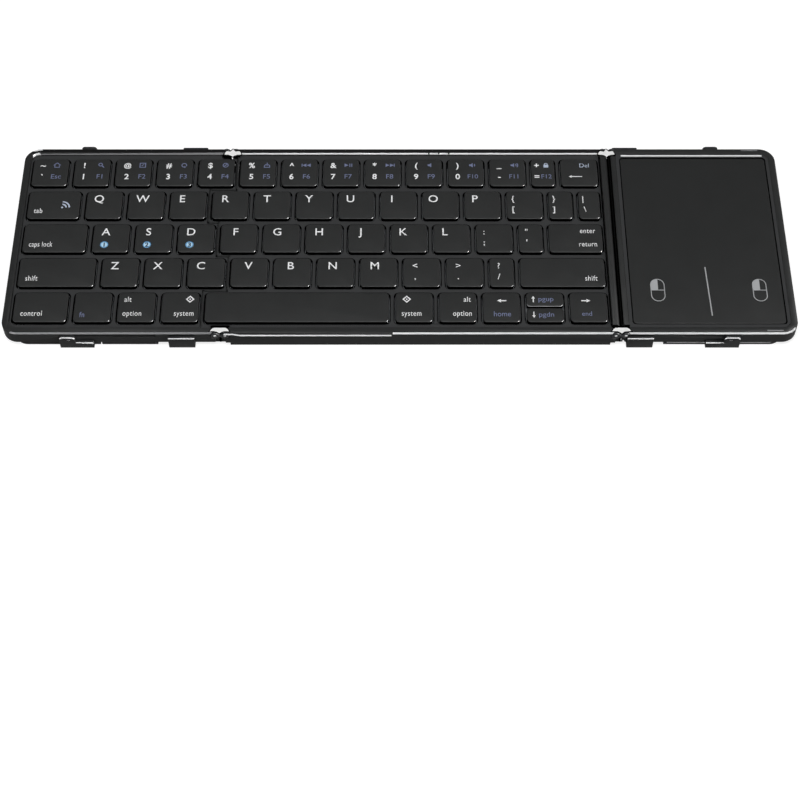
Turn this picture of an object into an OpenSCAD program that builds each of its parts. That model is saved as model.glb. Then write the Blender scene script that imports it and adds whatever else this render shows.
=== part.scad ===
// Folding keyboard: a middle panel and two wings on double-pin hinges.
// The wings fold up and over onto the keys.  A fabric-covered cover folds round each side:
// a spine stands up beside the closed stack and a plate slides along the back of the wing.
// +X right, +Y back, +Z up; origin on the table under the middle of the open keyboard.

/* [Overall size] */
// Width of the open keyboard
body_w = 345.8; // [335:0.1:357]
// Depth of the panels, front face to back face
body_d = 104.5; // [103.5:0.1:107]
// Thickness of the open keyboard
body_t = 8.5; // [8.4:0.05:9.2]
// Width of the left wing, from its hinge centre to its free edge
left_wing_w = 95; // [94:0.1:97]
// Width of the right wing, from its hinge centre to its free edge
right_wing_w = 77; // [75:0.1:79]
// Radius of the free corners of the wings
corner_r = 7; // [4:0.5:9]

/* [Panel shell] */
// Width of the rim along the front and the back
rim_d = 3.3; // [3.1:0.05:3.5]
// Width of the rim at the free edges and along the right seam
rim_w = 3; // [2.5:0.05:3.1]
// Chamfer along the top edge of the rim
rim_chamfer = 0.6; // [0.3:0.05:0.9]
// Height of the wing cases' underside above the table
wing_lift = 2.1; // [2.1:0.05:2.4]
// Thickness of the case floors
floor_t = 0.9; // [0.7:0.05:1.0]
// Depth of the deck below the rim
deck_drop = 1.3; // [1.1:0.05:1.5]
// Thickness of the deck
deck_t = 1.2; // [1:0.05:1.3]
// Width of the ledge that the deck rests on
ledge_w = 0.9; // [0.7:0.05:1.0]
// Gap between the left wing and the middle panel along their stepped seam
seam_gap = 0.8; // [0.8:0.05:1.0]
// Clearance round a deck inside its rim
deck_gap = 0.1; // [0.05:0.01:0.15]

/* [Keys] */
// Distance from one key to the next, across and from row to row
key_pitch = 19.05; // [18.9:0.05:19.1]
// Gap between neighbouring keys
key_gap = 2.9; // [2.7:0.05:3.1]
// Distance from the front face of the panel to the front row of keys
key_front = 6.3; // [6:0.05:6.6]
// Distance from the left free edge to the left end of the rows
key_side = 3.1; // [3.1:0.05:3.3]
// Distance from the right end of the rows to the right hinge centre
key_end = 3.9; // [3.8:0.05:4.2]
// Radius of the corners of a key
key_r = 1.7; // [1.2:0.1:2.2]
// Depth of the key tops below the rim
key_drop = 0.25; // [0.2:0.05:0.4]
// Travel of a key
key_travel = 1.2; // [1:0.05:1.25]
// Height of a key cap's skirt
key_h = 2; // [1.9:0.05:2.1]
// Thickness of a key cap's top
key_top_t = 0.9; // [0.7:0.05:1]
// Thickness of a key cap's skirt
key_wall = 0.9; // [0.7:0.05:1]
// Chamfer round the top of a key
key_chamfer = 0.3; // [0.2:0.05:0.5]
// Clearance round a key in the deck
key_clear = 0.45; // [0.35:0.05:0.5]
// Radius of the plunger under a key
plunger_r = 1.1; // [0.9:0.05:1.2]
// Radial clearance of the plunger in its rubber dome
dome_clear = 0.3; // [0.2:0.05:0.4]
// Wall of a rubber dome
dome_wall = 1; // [0.8:0.05:1.2]

/* [Key widths in pitches] */
// Width of the tab key
tab_u = 1.38; // [1.36:0.005:1.4]
// Width of the caps lock key
caps_u = 1.63; // [1.61:0.005:1.65]
// Width of the left shift key
shift_u = 1.92; // [1.9:0.005:1.94]
// Width of the control key
control_u = 1.38; // [1.36:0.005:1.4]
// Width of the space bar
space_u = 4.36; // [4.3:0.01:4.4]
// Width of the narrow symbol keys
narrow_u = 0.71; // [0.69:0.005:0.73]

/* [Hinges] */
// Distance between the two pins of a hinge
pin_spacing = 4.4; // [4.4:0.05:4.6]
// Depth of the pins below the rim
pin_drop = 2; // [2:0.05:2.1]
// Radius of a hinge pin
pin_r = 0.7; // [0.6:0.02:0.8]
// Radial running clearance of a hinge pin
pin_clear = 0.05; // [0.03:0.01:0.09]
// Radius of the hinge barrels
barrel_r = 2; // [1.9:0.02:2]
// Thickness of a hinge link
link_t = 0.9; // [0.8:0.05:1]
// Thickness of the knuckle behind a link
knuckle_t = 1.3; // [1.1:0.05:1.4]
// Depth of the through notch behind a knuckle
notch_d = 2.4; // [2.2:0.05:2.5]
// Width of the through notch
notch_w = 7.5; // [7:0.1:8]
// Clearance beside a hinge link
link_gap = 0.12; // [0.08:0.01:0.2]

/* [Cover] */
// Thickness of the cover fabric
fabric_t = 0.4; // [0.3:0.05:0.4]
// Thickness of the cover plates
plate_t = 1.2; // [1:0.05:1.25]
// Distance from the left hinge centre out to the spine's fold
left_fold = 10; // [9.95:0.05:10.4]
// Distance from the right hinge centre out to the spine's fold
right_fold = 1.6; // [1.55:0.05:2]
// Width of the left bridge plate, fold to fold
bridge_w = 25; // [24:0.5:26]
// Inset of the left slide plate from the free edge, open
left_margin = 5; // [4.5:0.1:6]
// Inset of the right slide plate from the free edge, open
right_margin = 6; // [5.5:0.1:7]
// Radius of the slide plates' free corners
plate_r = 6; // [4:0.5:7]
// Clearance of a plate at a fabric fold
fold_gap = 0.3; // [0.25:0.01:0.35]
// Inset of the spine and the base cover from the front face
spine_inset = 1.6; // [1.5:0.05:1.8]
// Inset of the bridge and slide plates from the front face
plate_inset = 0.2; // [0.1:0.05:0.4]

/* [Cover ears] */
// Thickness of the ears that stand beside the panels
ear_t = 1.6; // [1.4:0.05:1.8]
// Gap between an ear and the face beside it
ear_gap = 0.2; // [0.15:0.01:0.25]
// Height of a spine ear
spine_ear_h = 7; // [6.5:0.1:7.4]
// Length of a spine ear
spine_ear_l = 11.4; // [11:0.1:12]
// Distance from a spine's fold to its ear
spine_ear_in = 1; // [0.8:0.1:1.4]
// Length of a slide ear
slide_ear_l = 14.7; // [14:0.1:15.5]
// Length of the tall end of a slide ear
slide_ear_tall_l = 7; // [6.5:0.1:7.5]
// Height of the tall end of a slide ear
slide_ear_h = 7.6; // [7.4:0.05:7.8]
// Height of the low end of a slide ear
slide_ear_low_h = 3.8; // [3.5:0.1:4.2]
// Distance from the free edge to the slide ears, open
slide_ear_in = 25.4; // [25:0.1:26]
// Radius of a guide pin
guide_r = 0.6; // [0.5:0.02:0.65]
// Clearance of a guide pin in its slot
guide_clear = 0.08; // [0.05:0.01:0.1]
// Depth of the guide slots
slot_depth = 1.3; // [1.1:0.05:1.4]

/* [Touchpad] */
// Width of the touchpad
pad_w = 66.6; // [65:0.1:67]
// Depth of the touchpad
pad_d = 93.2; // [92:0.1:93.6]
// Distance from the right hinge centre to the touchpad
pad_in = 5.5; // [5.3:0.05:6]
// Distance from the front face to the touchpad
pad_front = 5.3; // [5:0.05:5.6]
// Thickness of the touchpad
pad_t = 1; // [0.8:0.05:1.2]
// Gap round the touchpad
pad_gap = 0.35; // [0.25:0.05:0.4]
// Travel of the touchpad when it clicks
pad_travel = 0.4; // [0.3:0.05:0.5]

/* [Inside] */
// Thickness of the circuit boards
board_t = 0.7; // [0.6:0.05:0.8]
// Thickness of the rubber dome sheets
sheet_t = 0.4; // [0.3:0.05:0.45]
// Width of the battery
battery_w = 60; // [50:1:70]
// Depth of the battery
battery_d = 34; // [28:1:36]
// Diameter of the closing magnets
magnet_dia = 5; // [4:0.1:5.5]
// Thickness of the closing magnets
magnet_t = 1.4; // [1:0.1:1.6]
// Thread diameter of the case screws
screw_dia = 1.4; // [1.2:0.1:1.6]
// Head diameter of the case screws
screw_head_dia = 2.6; // [2.4:0.1:2.8]

/* [Port and switch] */
// Distance from the left hinge centre to the middle of the power switch
switch_at = 96; // [92:0.5:100]
// Length of the power switch's recess
switch_l = 10; // [9:0.1:11]
// Travel of the power switch
switch_travel = 2.5; // [2:0.1:3]
// Length of the power switch's knob
knob_l = 4.5; // [4:0.1:5]
// Distance from the left hinge centre to the middle of the charging socket
socket_at = 122; // [116:0.5:130]
// Width of the charging socket's mouth
socket_w = 8.4; // [8.2:0.1:8.6]
// Height of the charging socket's mouth
socket_h = 2.6; // [2.4:0.05:2.7]

/* [Hidden] */
$fn = 48;
eps = 0.01;
far = 400;
free_l = -body_w / 2;
free_r = body_w / 2;
left_x = free_l + left_wing_w;
right_x = free_r - right_wing_w;
front_y = -body_d / 2;
back_y = body_d / 2;
// The rims beside the left hinge have this much clearance each side of the hinge centre.
half_gap = 0.5;
pin_z = body_t - pin_drop;
deck_top = body_t - deck_drop;
deck_low = deck_top - deck_t;
skin_z = fabric_t;
plate_z = fabric_t + plate_t;
inner_front = front_y + rim_d;
inner_back = back_y - rim_d;
inner_left = free_l + rim_w;
inner_right = free_r - rim_w;
inner_seam = right_x - half_gap - rim_w;
mid_floor = plate_z;
tab_lift = wing_lift + 0.9;

// Keys: each row starts at keys_left; the last key of a row fills it up to keys_right.
keys_left = free_l + key_side;
keys_right = right_x - key_end;
row_units = [
    [1, 1, 1, 1, 1, 1, 1, 1, 1, 1, 1, 1, narrow_u],
    [tab_u, 1, 1, 1, 1, 1, 1, 1, 1, 1, 1, 1, narrow_u],
    [caps_u, 1, 1, 1, 1, 1, 1, 1, 1, 1, 1, narrow_u],
    [shift_u, 1, 1, 1, 1, 1, 1, 1, 1, 1, narrow_u],
    [control_u, 1, 1, 1, space_u, 1, 1, 1, 1]
];
// How many keys of each row are on the left wing.
left_keys = [5, 4, 4, 4, 4];
rows = len(row_units);
arrow_index = 8;
function units_before(row, i) = i == 0 ? 0 : units_before(row, i - 1) + row_units[row][i - 1];
function key_count(row) = len(row_units[row]) + 1;
function edge_x(row, i) = i == key_count(row) ? keys_right : keys_left + key_pitch * units_before(row, i);
function row_y(row) = front_y + key_front + (rows - 1 - row) * (key_pitch - 0.05);
key_d = key_pitch - key_gap - 0.4;
key_top = body_t - key_drop;
key_low = key_top - key_h;
sheet_top = key_low - key_travel - 0.5;
plunger_low = sheet_top + key_travel + 0.1;
dome_top = plunger_low - 0.1;
board_top = sheet_top - sheet_t;
board_low = board_top - board_t;

// The stepped seam between the left wing and the middle panel.
function seam_x(row) = edge_x(row, left_keys[row]);
function seam_y(row) = row_y(row) + key_d + (key_gap + 0.4) / 2 - 0.05;
function step_sign(row) = sign(seam_x(row - 1) - seam_x(row));
// side is -1 for the wing's edge and +1 for the middle panel's edge
function seam_points(side) = [
    for (row = [rows - 1:-1:0]) each [
        [seam_x(row) + side * seam_gap / 2,
         row == rows - 1 ? inner_front + side_shift(seam_x(row), side)
                         : seam_y(row + 1) - side * step_sign(row + 1) * seam_gap / 2],
        [seam_x(row) + side * seam_gap / 2,
         row == 0 ? inner_back - side_shift(seam_x(row), side)
                  : seam_y(row) - side * step_sign(row) * seam_gap / 2]
    ]
];
// At its two ends the seam turns back to the hinge centre along the rim.
function side_shift(x, side) = side * sign(left_x - x) * seam_gap / 2;

// A rectangle between two corners with true round corners.
module round_rect(x0, y0, x1, y1, r) {
    translate([x0 + r, y0]) square([x1 - x0 - 2 * r, y1 - y0]);
    translate([x0, y0 + r]) square([x1 - x0, y1 - y0 - 2 * r]);
    for (x = [x0 + r, x1 - r], y = [y0 + r, y1 - r]) translate([x, y]) circle(r);
}

// A rectangle whose corners on one side only are round; side is -1 for the left end.
module end_rect(x0, y0, x1, y1, r, side) {
    intersection() {
        round_rect(side < 0 ? x0 : x0 - 3 * r, y0, side < 0 ? x1 + 3 * r : x1, y1, r);
        translate([x0, y0]) square([x1 - x0, y1 - y0]);
    }
}

module box(x0, y0, z0, x1, y1, z1) translate([x0, y0, z0]) cube([x1 - x0, y1 - y0, z1 - z0]);
module slab(z0, z1) translate([0, 0, z0]) linear_extrude(z1 - z0) children();
module along_y(x, y0, y1, z, r) translate([x, y0, z]) rotate([-90, 0, 0]) cylinder(r = r, h = y1 - y0);

// Plan of the left wing: rounded free corners and the stepped seam.
module left_plan() {
    polygon(concat([[free_l + corner_r, front_y], [left_x - half_gap, front_y],
                    [left_x - half_gap, inner_front + side_shift(seam_x(rows - 1), -1)]],
                   seam_points(-1),
                   [[left_x - half_gap, inner_back - side_shift(seam_x(0), -1)],
                    [left_x - half_gap, back_y], [free_l + corner_r, back_y]]));
    end_rect(free_l, front_y, free_l + 3 * corner_r, back_y, corner_r, -1);
}

// Plan of the middle panel: the stepped seam on its left and a straight one on its right.
module middle_plan() {
    polygon(concat([[left_x + half_gap, front_y],
                    [left_x + half_gap, inner_front + side_shift(seam_x(rows - 1), 1)]],
                   seam_points(1),
                   [[left_x + half_gap, inner_back - side_shift(seam_x(0), 1)],
                    [left_x + half_gap, back_y], [right_x - half_gap, back_y],
                    [right_x - half_gap, front_y]]));
}

module right_plan() end_rect(right_x + half_gap, front_y, free_r, back_y, corner_r, 1);

// The space inside each rim, where the deck lies.
module left_inner(gap = 0) {
    intersection() {
        left_plan();
        end_rect(inner_left + gap, inner_front + gap, left_x + far, inner_back - gap, corner_r - rim_w, -1);
    }
}
module middle_inner(gap = 0) {
    intersection() {
        middle_plan();
        translate([left_x - far, inner_front + gap])
            square([inner_seam - gap - left_x + far, inner_back - inner_front - 2 * gap]);
    }
}
module right_inner(gap = 0) end_rect(pad_frame_l + gap, inner_front + gap, inner_right - gap,
                                     inner_back - gap, corner_r - rim_w, 1);
pad_frame_l = right_x + half_gap + rim_w;

// Material removed along the top outside edges of a panel with round corners at one end.
module rim_chamfers(x0, x1, side) {
    c = rim_chamfer;
    corner_x = side < 0 ? x0 + corner_r : x1 - corner_r;
    for (m = [0, 1]) mirror([0, m, 0]) {
        translate([x0, front_y, body_t]) rotate([45, 0, 0])
            translate([0, -c / sqrt(2), -c / sqrt(2)]) cube([x1 - x0, c * sqrt(2), c * sqrt(2)]);
    }
    if (side != 0) {
        translate([side < 0 ? x0 : x1, 0, body_t]) rotate([0, 45, 0])
            translate([-c / sqrt(2), -body_d / 2, -c / sqrt(2)]) cube([c * sqrt(2), body_d, c * sqrt(2)]);
        for (m = [0, 1]) mirror([0, m, 0])
            intersection() {
                difference() {
                    translate([corner_x, front_y + corner_r, body_t - c]) cylinder(r = corner_r + 2, h = 2 * c);
                    translate([corner_x, front_y + corner_r, body_t - c - eps])
                        cylinder(r1 = corner_r, r2 = corner_r - 2 * c - eps, h = 2 * c + 2 * eps);
                }
                box(side < 0 ? x0 - 1 : corner_x, front_y - 1, body_t - 2 * c,
                    side < 0 ? corner_x : x1 + 1, front_y + corner_r, body_t + 2 * c);
            }
    }
}

// One half of a hinge seam, cut from a panel and given its barrel.
// x is the hinge centre, side is the way from the centre to the panel, low is the panel's underside.
module seam_cuts(x, side, low) {
    pin_x = x + side * pin_spacing / 2;
    link_y = front_y + link_t + link_gap;
    knuckle_y = link_y + knuckle_t;
    for (m = [0, 1]) mirror([0, m, 0]) {
        // room for the link in front of the knuckle
        box(min(pin_x, x - side * 2), front_y - 1, low - 3, max(pin_x, x - side * 2), link_y, body_t + 1);
        along_y(pin_x, front_y - 1, link_y, pin_z, barrel_r + 2 * link_gap);
        along_y(pin_x, front_y - 1, knuckle_y + 1, pin_z, pin_r + pin_clear);
        hinge_notch(x);
    }
}

// A notch right through behind the knuckle, raked back so that it can be seen through.
module hinge_notch(x) {
    knuckle_y = front_y + link_t + link_gap + knuckle_t;
    translate([x - notch_w / 2, 0, 0]) rotate([90, 0, 90]) linear_extrude(notch_w)
        polygon([[knuckle_y, body_t + 1], [knuckle_y, -1], [knuckle_y + notch_d + 5.8, -1],
                 [knuckle_y + notch_d, body_t - 0.4], [knuckle_y + notch_d, body_t + 1]]);
}

// Rounds the top of a straight seam edge down to the barrel's circle.
module seam_round(x, side, y0, y1) {
    pin_x = x + side * pin_spacing / 2;
    difference() {
        box(min(pin_x, x - side), y0, pin_z, max(pin_x, x - side), y1, body_t + 1);
        along_y(pin_x, y0 - 1, y1 + 1, pin_z, barrel_r);
    }
}

// A key cap: hollow, with a chamfered top and a plunger.
module key_cap(x0, y0, x1, y1) {
    c = key_chamfer;
    difference() {
        intersection() {
            slab(key_low, key_top) round_rect(x0, y0, x1, y1, key_r);
            translate([0, y1, 0]) rotate([90, 0, 0]) linear_extrude(y1 - y0)
                polygon([[x0, key_low], [x1, key_low], [x1, key_top - c], [x1 - c, key_top],
                         [x0 + c, key_top], [x0, key_top - c]]);
            translate([x0, 0, 0]) rotate([90, 0, 90]) linear_extrude(x1 - x0)
                polygon([[y0, key_low], [y1, key_low], [y1, key_top - c], [y1 - c, key_top],
                         [y0 + c, key_top], [y0, key_top - c]]);
        }
        slab(key_low - 1, key_top - key_top_t)
            round_rect(x0 + key_wall, y0 + key_wall, x1 - key_wall, y1 - key_wall, key_r - key_wall);
    }
    translate([(x0 + x1) / 2, (y0 + y1) / 2, plunger_low])
        cylinder(r = plunger_r, h = key_top - key_top_t - plunger_low + eps);
}

function key_x0(row, i) = edge_x(row, i) + key_gap / 2;
function key_x1(row, i) = edge_x(row, i + 1) - key_gap / 2;

module keys(row, first, last) {
    color("#2f3031")
        for (i = [first:last]) key_cap(key_x0(row, i), row_y(row), key_x1(row, i), row_y(row) + key_d);
}

// The up and down arrows share one place in the front row.
half_key_d = (key_d - 0.8) / 2;
module half_key(upper) {
    y = row_y(rows - 1) + (upper ? key_d - half_key_d : 0);
    color("#2f3031") key_cap(key_x0(rows - 1, arrow_index), y, key_x1(rows - 1, arrow_index), y + half_key_d);
}

module key_openings(first_of_row, last_of_row) {
    for (row = [0:rows - 1], i = [first_of_row[row]:last_of_row[row]])
        round_rect(key_x0(row, i) - key_clear, row_y(row) - key_clear, key_x1(row, i) + key_clear,
                   row_y(row) + key_d + key_clear, key_r + key_clear);
}
all_first = [for (row = [0:rows - 1]) 0];
left_last = [for (row = [0:rows - 1]) left_keys[row] - 1];
all_last = [for (row = [0:rows - 1]) key_count(row) - 1];

module dome_rings(first_of_row, last_of_row) {
    for (row = [0:rows - 1], i = [first_of_row[row]:last_of_row[row]]) {
        is_arrow = row == rows - 1 && i == arrow_index;
        for (part = is_arrow ? [-1, 1] : [0])
            translate([(key_x0(row, i) + key_x1(row, i)) / 2,
                       row_y(row) + key_d / 2 + part * (key_d - half_key_d) / 2, sheet_top])
                difference() {
                    cylinder(r1 = plunger_r + dome_clear + dome_wall + 0.4,
                             r2 = plunger_r + dome_clear + dome_wall, h = dome_top - sheet_top);
                    translate([0, 0, -eps]) cylinder(r = plunger_r + dome_clear, h = dome_top);
                }
    }
}

// ---- Middle panel ----
module middle_case() {
    color("#303133") difference() {
        slab(mid_floor, body_t) middle_plan();
        slab(deck_low, body_t + 1) middle_inner();
        slab(mid_floor + floor_t, deck_low + eps) difference() {
            middle_inner(ledge_w);
            seam_wall_plan(1);
        }
        slab(key_low - key_travel - 0.3, deck_low + eps) key_openings(left_keys, all_last);
        // pocket for the battery
        slab(mid_floor + pocket_floor, deck_low) battery_plan(0.15);
        seam_cuts(left_x, 1, mid_floor);
        seam_cuts(right_x, -1, mid_floor);
        for (y = [[front_y - 1, inner_front], [inner_back, back_y + 1]]) seam_round(left_x, 1, y[0], y[1]);
        seam_round(right_x, -1, front_y - 1, back_y + 1);
        rim_chamfers(left_x + barrel_r, right_x - barrel_r, 0);
        switch_recess();
        socket_hole();
    }
    // front and back walls reach down past the base cover
    color("#303133") for (m = [0, 1]) mirror([0, m, 0])
        box(left_x + pin_spacing / 2 + 2, front_y, 0, right_x - pin_spacing / 2 - 2,
            front_y + spine_inset - 0.2, mid_floor + eps);
}

// The case wall under the deck's edge along the stepped seam and round the hinge notches.
module seam_wall_plan(side) {
    intersection() {
        union() {
            polygon(concat([for (p = seam_points(side)) p + [side * ledge_w, 0]],
                           [[left_x - side * far, inner_back], [left_x - side * far, inner_front]]));
            hinge_wall_plan(left_x);
        }
        square([2 * far, body_d], center = true);
    }
    hinge_wall_plan(right_x);
    for (row = [1:rows - 1])
        translate([min(seam_x(row), seam_x(row - 1)) - 2, seam_y(row) - 1.3])
            square([abs(seam_x(row) - seam_x(row - 1)) + 4, 2.6]);
}
module hinge_wall_plan(x) {
    for (m = [0, 1]) mirror([0, m, 0])
        translate([x - notch_w / 2 - 1, front_y]) square([notch_w + 2, rim_d + 8]);
}

module middle_deck() {
    color("#333436") difference() {
        slab(deck_low, deck_top) difference() {
            middle_inner(deck_gap);
            key_openings(left_keys, all_last);
        }
        seam_cuts(left_x, 1, mid_floor);
        seam_cuts(right_x, -1, mid_floor);
    }
}

module board_plan_middle(gap) difference() {
    middle_inner(ledge_w + gap);
    seam_wall_plan(1);
    translate([left_x + switch_at - switch_l / 2 - 2, back_y - 9]) square([switch_l + 4, 12]);
    translate([left_x + socket_at - socket_w / 2 - 2, back_y - 9]) square([socket_w + 4, 12]);
}

module middle_dome_sheet() {
    color("#8b8d90") slab(board_top, sheet_top) difference() {
        board_plan_middle(0.2);
        for (p = screw_places) translate(p) circle(screw_head_dia / 2 + 0.3);
    }
    color("#8b8d90") dome_rings(left_keys, all_last);
}
screw_places = [for (i = [0, 1, 2], row = [0, 3]) [edge_x(row, 7 + 2 * i), seam_y(row + 1)]];
left_screw_places = [for (i = [1, 3], row = [0, 3]) [edge_x(row, i), seam_y(row + 1)]];
battery_x = left_x + 62;

module middle_board() {
    color("#1f5c3a") slab(board_low, board_top) difference() {
        board_plan_middle(0.2);
        for (p = screw_places) translate(p) circle(screw_dia / 2 + 0.05);
    }
}

pocket_floor = 0.35;
module battery_plan(gap)
    round_rect(battery_x - battery_w / 2 - gap, -battery_d / 2 - gap, battery_x + battery_w / 2 + gap,
               battery_d / 2 + gap, 1.5 + gap);
module battery() color("#c9ccd1") slab(mid_floor + pocket_floor, board_low) battery_plan(0);

module board_screws() {
    color("#a9abae") for (p = screw_places) translate([p[0], p[1], mid_floor + floor_t]) {
        cylinder(d = screw_dia, h = board_top - mid_floor - floor_t);
        translate([0, 0, board_top - mid_floor - floor_t]) cylinder(d = screw_head_dia, h = 0.5);
    }
}

module switch_recess() {
    x = left_x + switch_at;
    box(x - switch_l / 2, back_y - 1.6, body_t - 5, x + switch_l / 2, back_y + 1, body_t - 1.5);
    box(x - knob_l / 2 - switch_travel / 2 - 0.2, back_y - 6, body_t - 4, x + knob_l / 2 + switch_travel / 2 + 0.2,
        back_y, body_t - 2.5);
}
module power_switch() {
    x = left_x + switch_at - switch_travel / 2;
    color("#1d1e20") {
        box(x - knob_l / 2, back_y - 1.4, body_t - 4.6, x + knob_l / 2, back_y - 0.4, body_t - 1.9);
        box(x - knob_l / 2 + 0.3, back_y - 4.5, body_t - 3.85, x + knob_l / 2 - 0.3, back_y - 1.4, body_t - 2.65);
        for (i = [-1, 0, 1]) box(x + i * 1.1 - 0.25, back_y - 0.4, body_t - 4.4, x + i * 1.1 + 0.25, back_y - 0.1,
                                 body_t - 2.1);
    }
}

socket_z = mid_floor + floor_t + 0.1 + socket_h / 2 + 0.3;
module socket_slot(w, h, y0, y1) {
    translate([left_x + socket_at, y0, socket_z]) rotate([-90, 0, 0]) linear_extrude(y1 - y0)
        round_rect(-w / 2, -h / 2, w / 2, h / 2, h / 2 - 0.01);
}
module socket_hole() socket_slot(socket_w + 0.7, socket_h + 0.7, back_y - socket_d - 1, back_y + 1);
socket_d = 5.3;
module charging_socket() {
    color("#b9bbbe") difference() {
        socket_slot(socket_w + 0.6, socket_h + 0.6, back_y - socket_d, back_y - 0.3);
        socket_slot(socket_w, socket_h, back_y - socket_d + 0.5, back_y);
    }
    color("#1a1a1c") box(left_x + socket_at - 3.3, back_y - socket_d + 0.4, socket_z - 0.35,
                         left_x + socket_at + 3.3, back_y - 2, socket_z + 0.35);
}

// ---- Cover under the middle panel ----
fold_inset = plate_z - fabric_t / 2 + fold_gap;
cover_y = body_d / 2 - spine_inset;
left_fold_x = left_x - left_fold;
right_fold_x = right_x + right_fold;
module base_cover() color("#3a3b3e") difference() {
    box(left_fold_x + fold_inset, -cover_y, fabric_t, right_fold_x - fold_inset, cover_y, plate_z);
    notches();
}
module base_fabric() color("#4b4c50") difference() {
    box(left_fold_x + fold_gap, -cover_y, 0, right_fold_x - fold_gap, cover_y, fabric_t);
    notches();
}
module notches() for (x = [left_x, right_x], m = [0, 1]) mirror([0, m, 0]) hinge_notch(x);

// ---- Left wing ----
module wing_slots(outer_x, inner_x, side) {
    for (m = [0, 1]) mirror([0, m, 0]) {
        r = guide_r + guide_clear;
        box(min(outer_x, inner_x), front_y - 1, pin_z - r, max(outer_x, inner_x), front_y + slot_depth, pin_z + r);
        for (x = [outer_x, inner_x]) along_y(x, front_y - 1, front_y + slot_depth, pin_z, r);
    }
}
// A spine is as long as the closed stack is high between its two folds.
spine_l = pin_z + pin_spacing + pin_z - fabric_t;
left_slide = 2 * left_fold + spine_l;
right_slide = 2 * right_fold + spine_l;
left_guide_x = free_l + slide_ear_in + slide_ear_tall_l / 2 + 0.6;
right_guide_x = free_r - slide_ear_in - slide_ear_tall_l / 2 - 0.6;

module left_case() {
    color("#303133") difference() {
        slab(wing_lift, body_t) left_plan();
        slab(deck_low, body_t + 1) left_inner();
        slab(wing_lift + floor_t, deck_low + eps) difference() {
            left_inner(ledge_w);
            seam_wall_plan(-1);
        }
        slab(key_low - key_travel - 0.3, deck_low + eps) key_openings(all_first, left_last);
        // the tabs that reach over the middle panel are shallower
        box(left_x - 1, -far, 0, left_x + 10, far, tab_lift);
        seam_cuts(left_x, -1, wing_lift);
        for (y = [[front_y - 1, inner_front], [inner_back, back_y + 1]]) seam_round(left_x, -1, y[0], y[1]);
        magnet_pockets(left_magnet_x);
        rim_chamfers(free_l, left_x - barrel_r, -1);
        wing_slots(left_guide_x, left_guide_x + left_slide, -1);
    }
}
module left_deck() {
    color("#333436") difference() {
        slab(deck_low, deck_top) difference() {
            left_inner(deck_gap);
            key_openings(all_first, left_last);
        }
        seam_cuts(left_x, -1, wing_lift);
    }
}
module board_plan_left(gap) difference() {
    left_inner(ledge_w + gap);
    seam_wall_plan(-1);
    for (y = [-1, 1]) translate([left_magnet_x, y * (inner_back - 3.6)]) circle(magnet_dia / 2 + 0.6);
}
module left_dome_sheet() {
    color("#8b8d90") slab(board_top, sheet_top) difference() {
        board_plan_left(0.2);
        for (p = left_screw_places) translate(p) circle(screw_head_dia / 2 + 0.3);
    }
    color("#8b8d90") dome_rings(all_first, left_last);
}
module left_board() {
    color("#1f5c3a") slab(wing_lift + floor_t, board_top) difference() {
        board_plan_left(0.2);
        for (p = left_screw_places) translate(p) circle(screw_dia / 2 + 0.05);
    }
}
module left_screws() {
    color("#a9abae") for (p = left_screw_places) translate([p[0], p[1], wing_lift + floor_t]) {
        cylinder(d = screw_dia, h = board_top - wing_lift - floor_t);
        translate([0, 0, board_top - wing_lift - floor_t]) cylinder(d = screw_head_dia, h = 0.5);
    }
}
module magnets(x) {
    color("#c4c6c8") for (y = [-1, 1])
        translate([x, y * (inner_back - 3.6), wing_lift + floor_t]) cylinder(d = magnet_dia, h = magnet_t);
}
module magnet_pockets(x) for (y = [-1, 1])
    translate([x, y * (inner_back - 3.6), wing_lift + floor_t]) cylinder(d = magnet_dia + 0.1, h = magnet_t + 0.2);
left_magnet_x = free_l + rim_w + 3.4;
right_magnet_x = free_r - rim_w - 3.4;
module left_magnets() magnets(left_magnet_x);

// ---- Hinges ----
module hinge_links(x) {
    color("#26272a") for (m = [0, 1]) mirror([0, m, 0]) difference() {
        union() {
            for (side = [-1, 1]) along_y(x + side * pin_spacing / 2, front_y, front_y + link_t, pin_z, barrel_r - 0.1);
            box(x - pin_spacing / 2, front_y, pin_z - 0.8, x + pin_spacing / 2, front_y + link_t, pin_z + 0.8);
        }
        for (side = [-1, 1]) along_y(x + side * pin_spacing / 2, front_y - 1, front_y + link_t + 1, pin_z, pin_r);
    }
}
module hinge_pins(x) {
    color("#c7c9cb") for (m = [0, 1], side = [-1, 1]) mirror([0, m, 0])
        along_y(x + side * pin_spacing / 2, front_y - 0.15, front_y + link_t + link_gap + knuckle_t - 0.1, pin_z, pin_r);
}
module left_hinge_links() hinge_links(left_x);
module left_hinge_pins() hinge_pins(left_x);

// ---- Cover on the wings ----
ear_y = body_d / 2 + ear_gap;
module slide_ears(x, side) {
    // x is the outer end of the ears, side points back towards the hinge
    x_step = x + side * slide_ear_tall_l;
    x_end = x + side * slide_ear_l;
    for (m = [0, 1]) mirror([0, m, 0]) translate([0, -ear_y, 0]) rotate([90, 0, 0]) linear_extrude(ear_t)
        difference() {
            union() {
                translate([min(x, x_end), fabric_t]) square([slide_ear_l, slide_ear_low_h - fabric_t]);
                ear_bump(min(x, x_step), max(x, x_step));
            }
            translate([x + side * (slide_ear_tall_l / 2 + 0.6), pin_z]) circle(guide_r);
        }
}
module ear_bump(x0, x1) {
    r = 1.6;
    translate([x0, fabric_t]) square([x1 - x0, slide_ear_h - r - fabric_t]);
    translate([x0 + r, fabric_t]) square([x1 - x0 - 2 * r, slide_ear_h - fabric_t]);
    for (x = [x0 + r, x1 - r]) translate([x, slide_ear_h - r]) circle(r);
}
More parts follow.
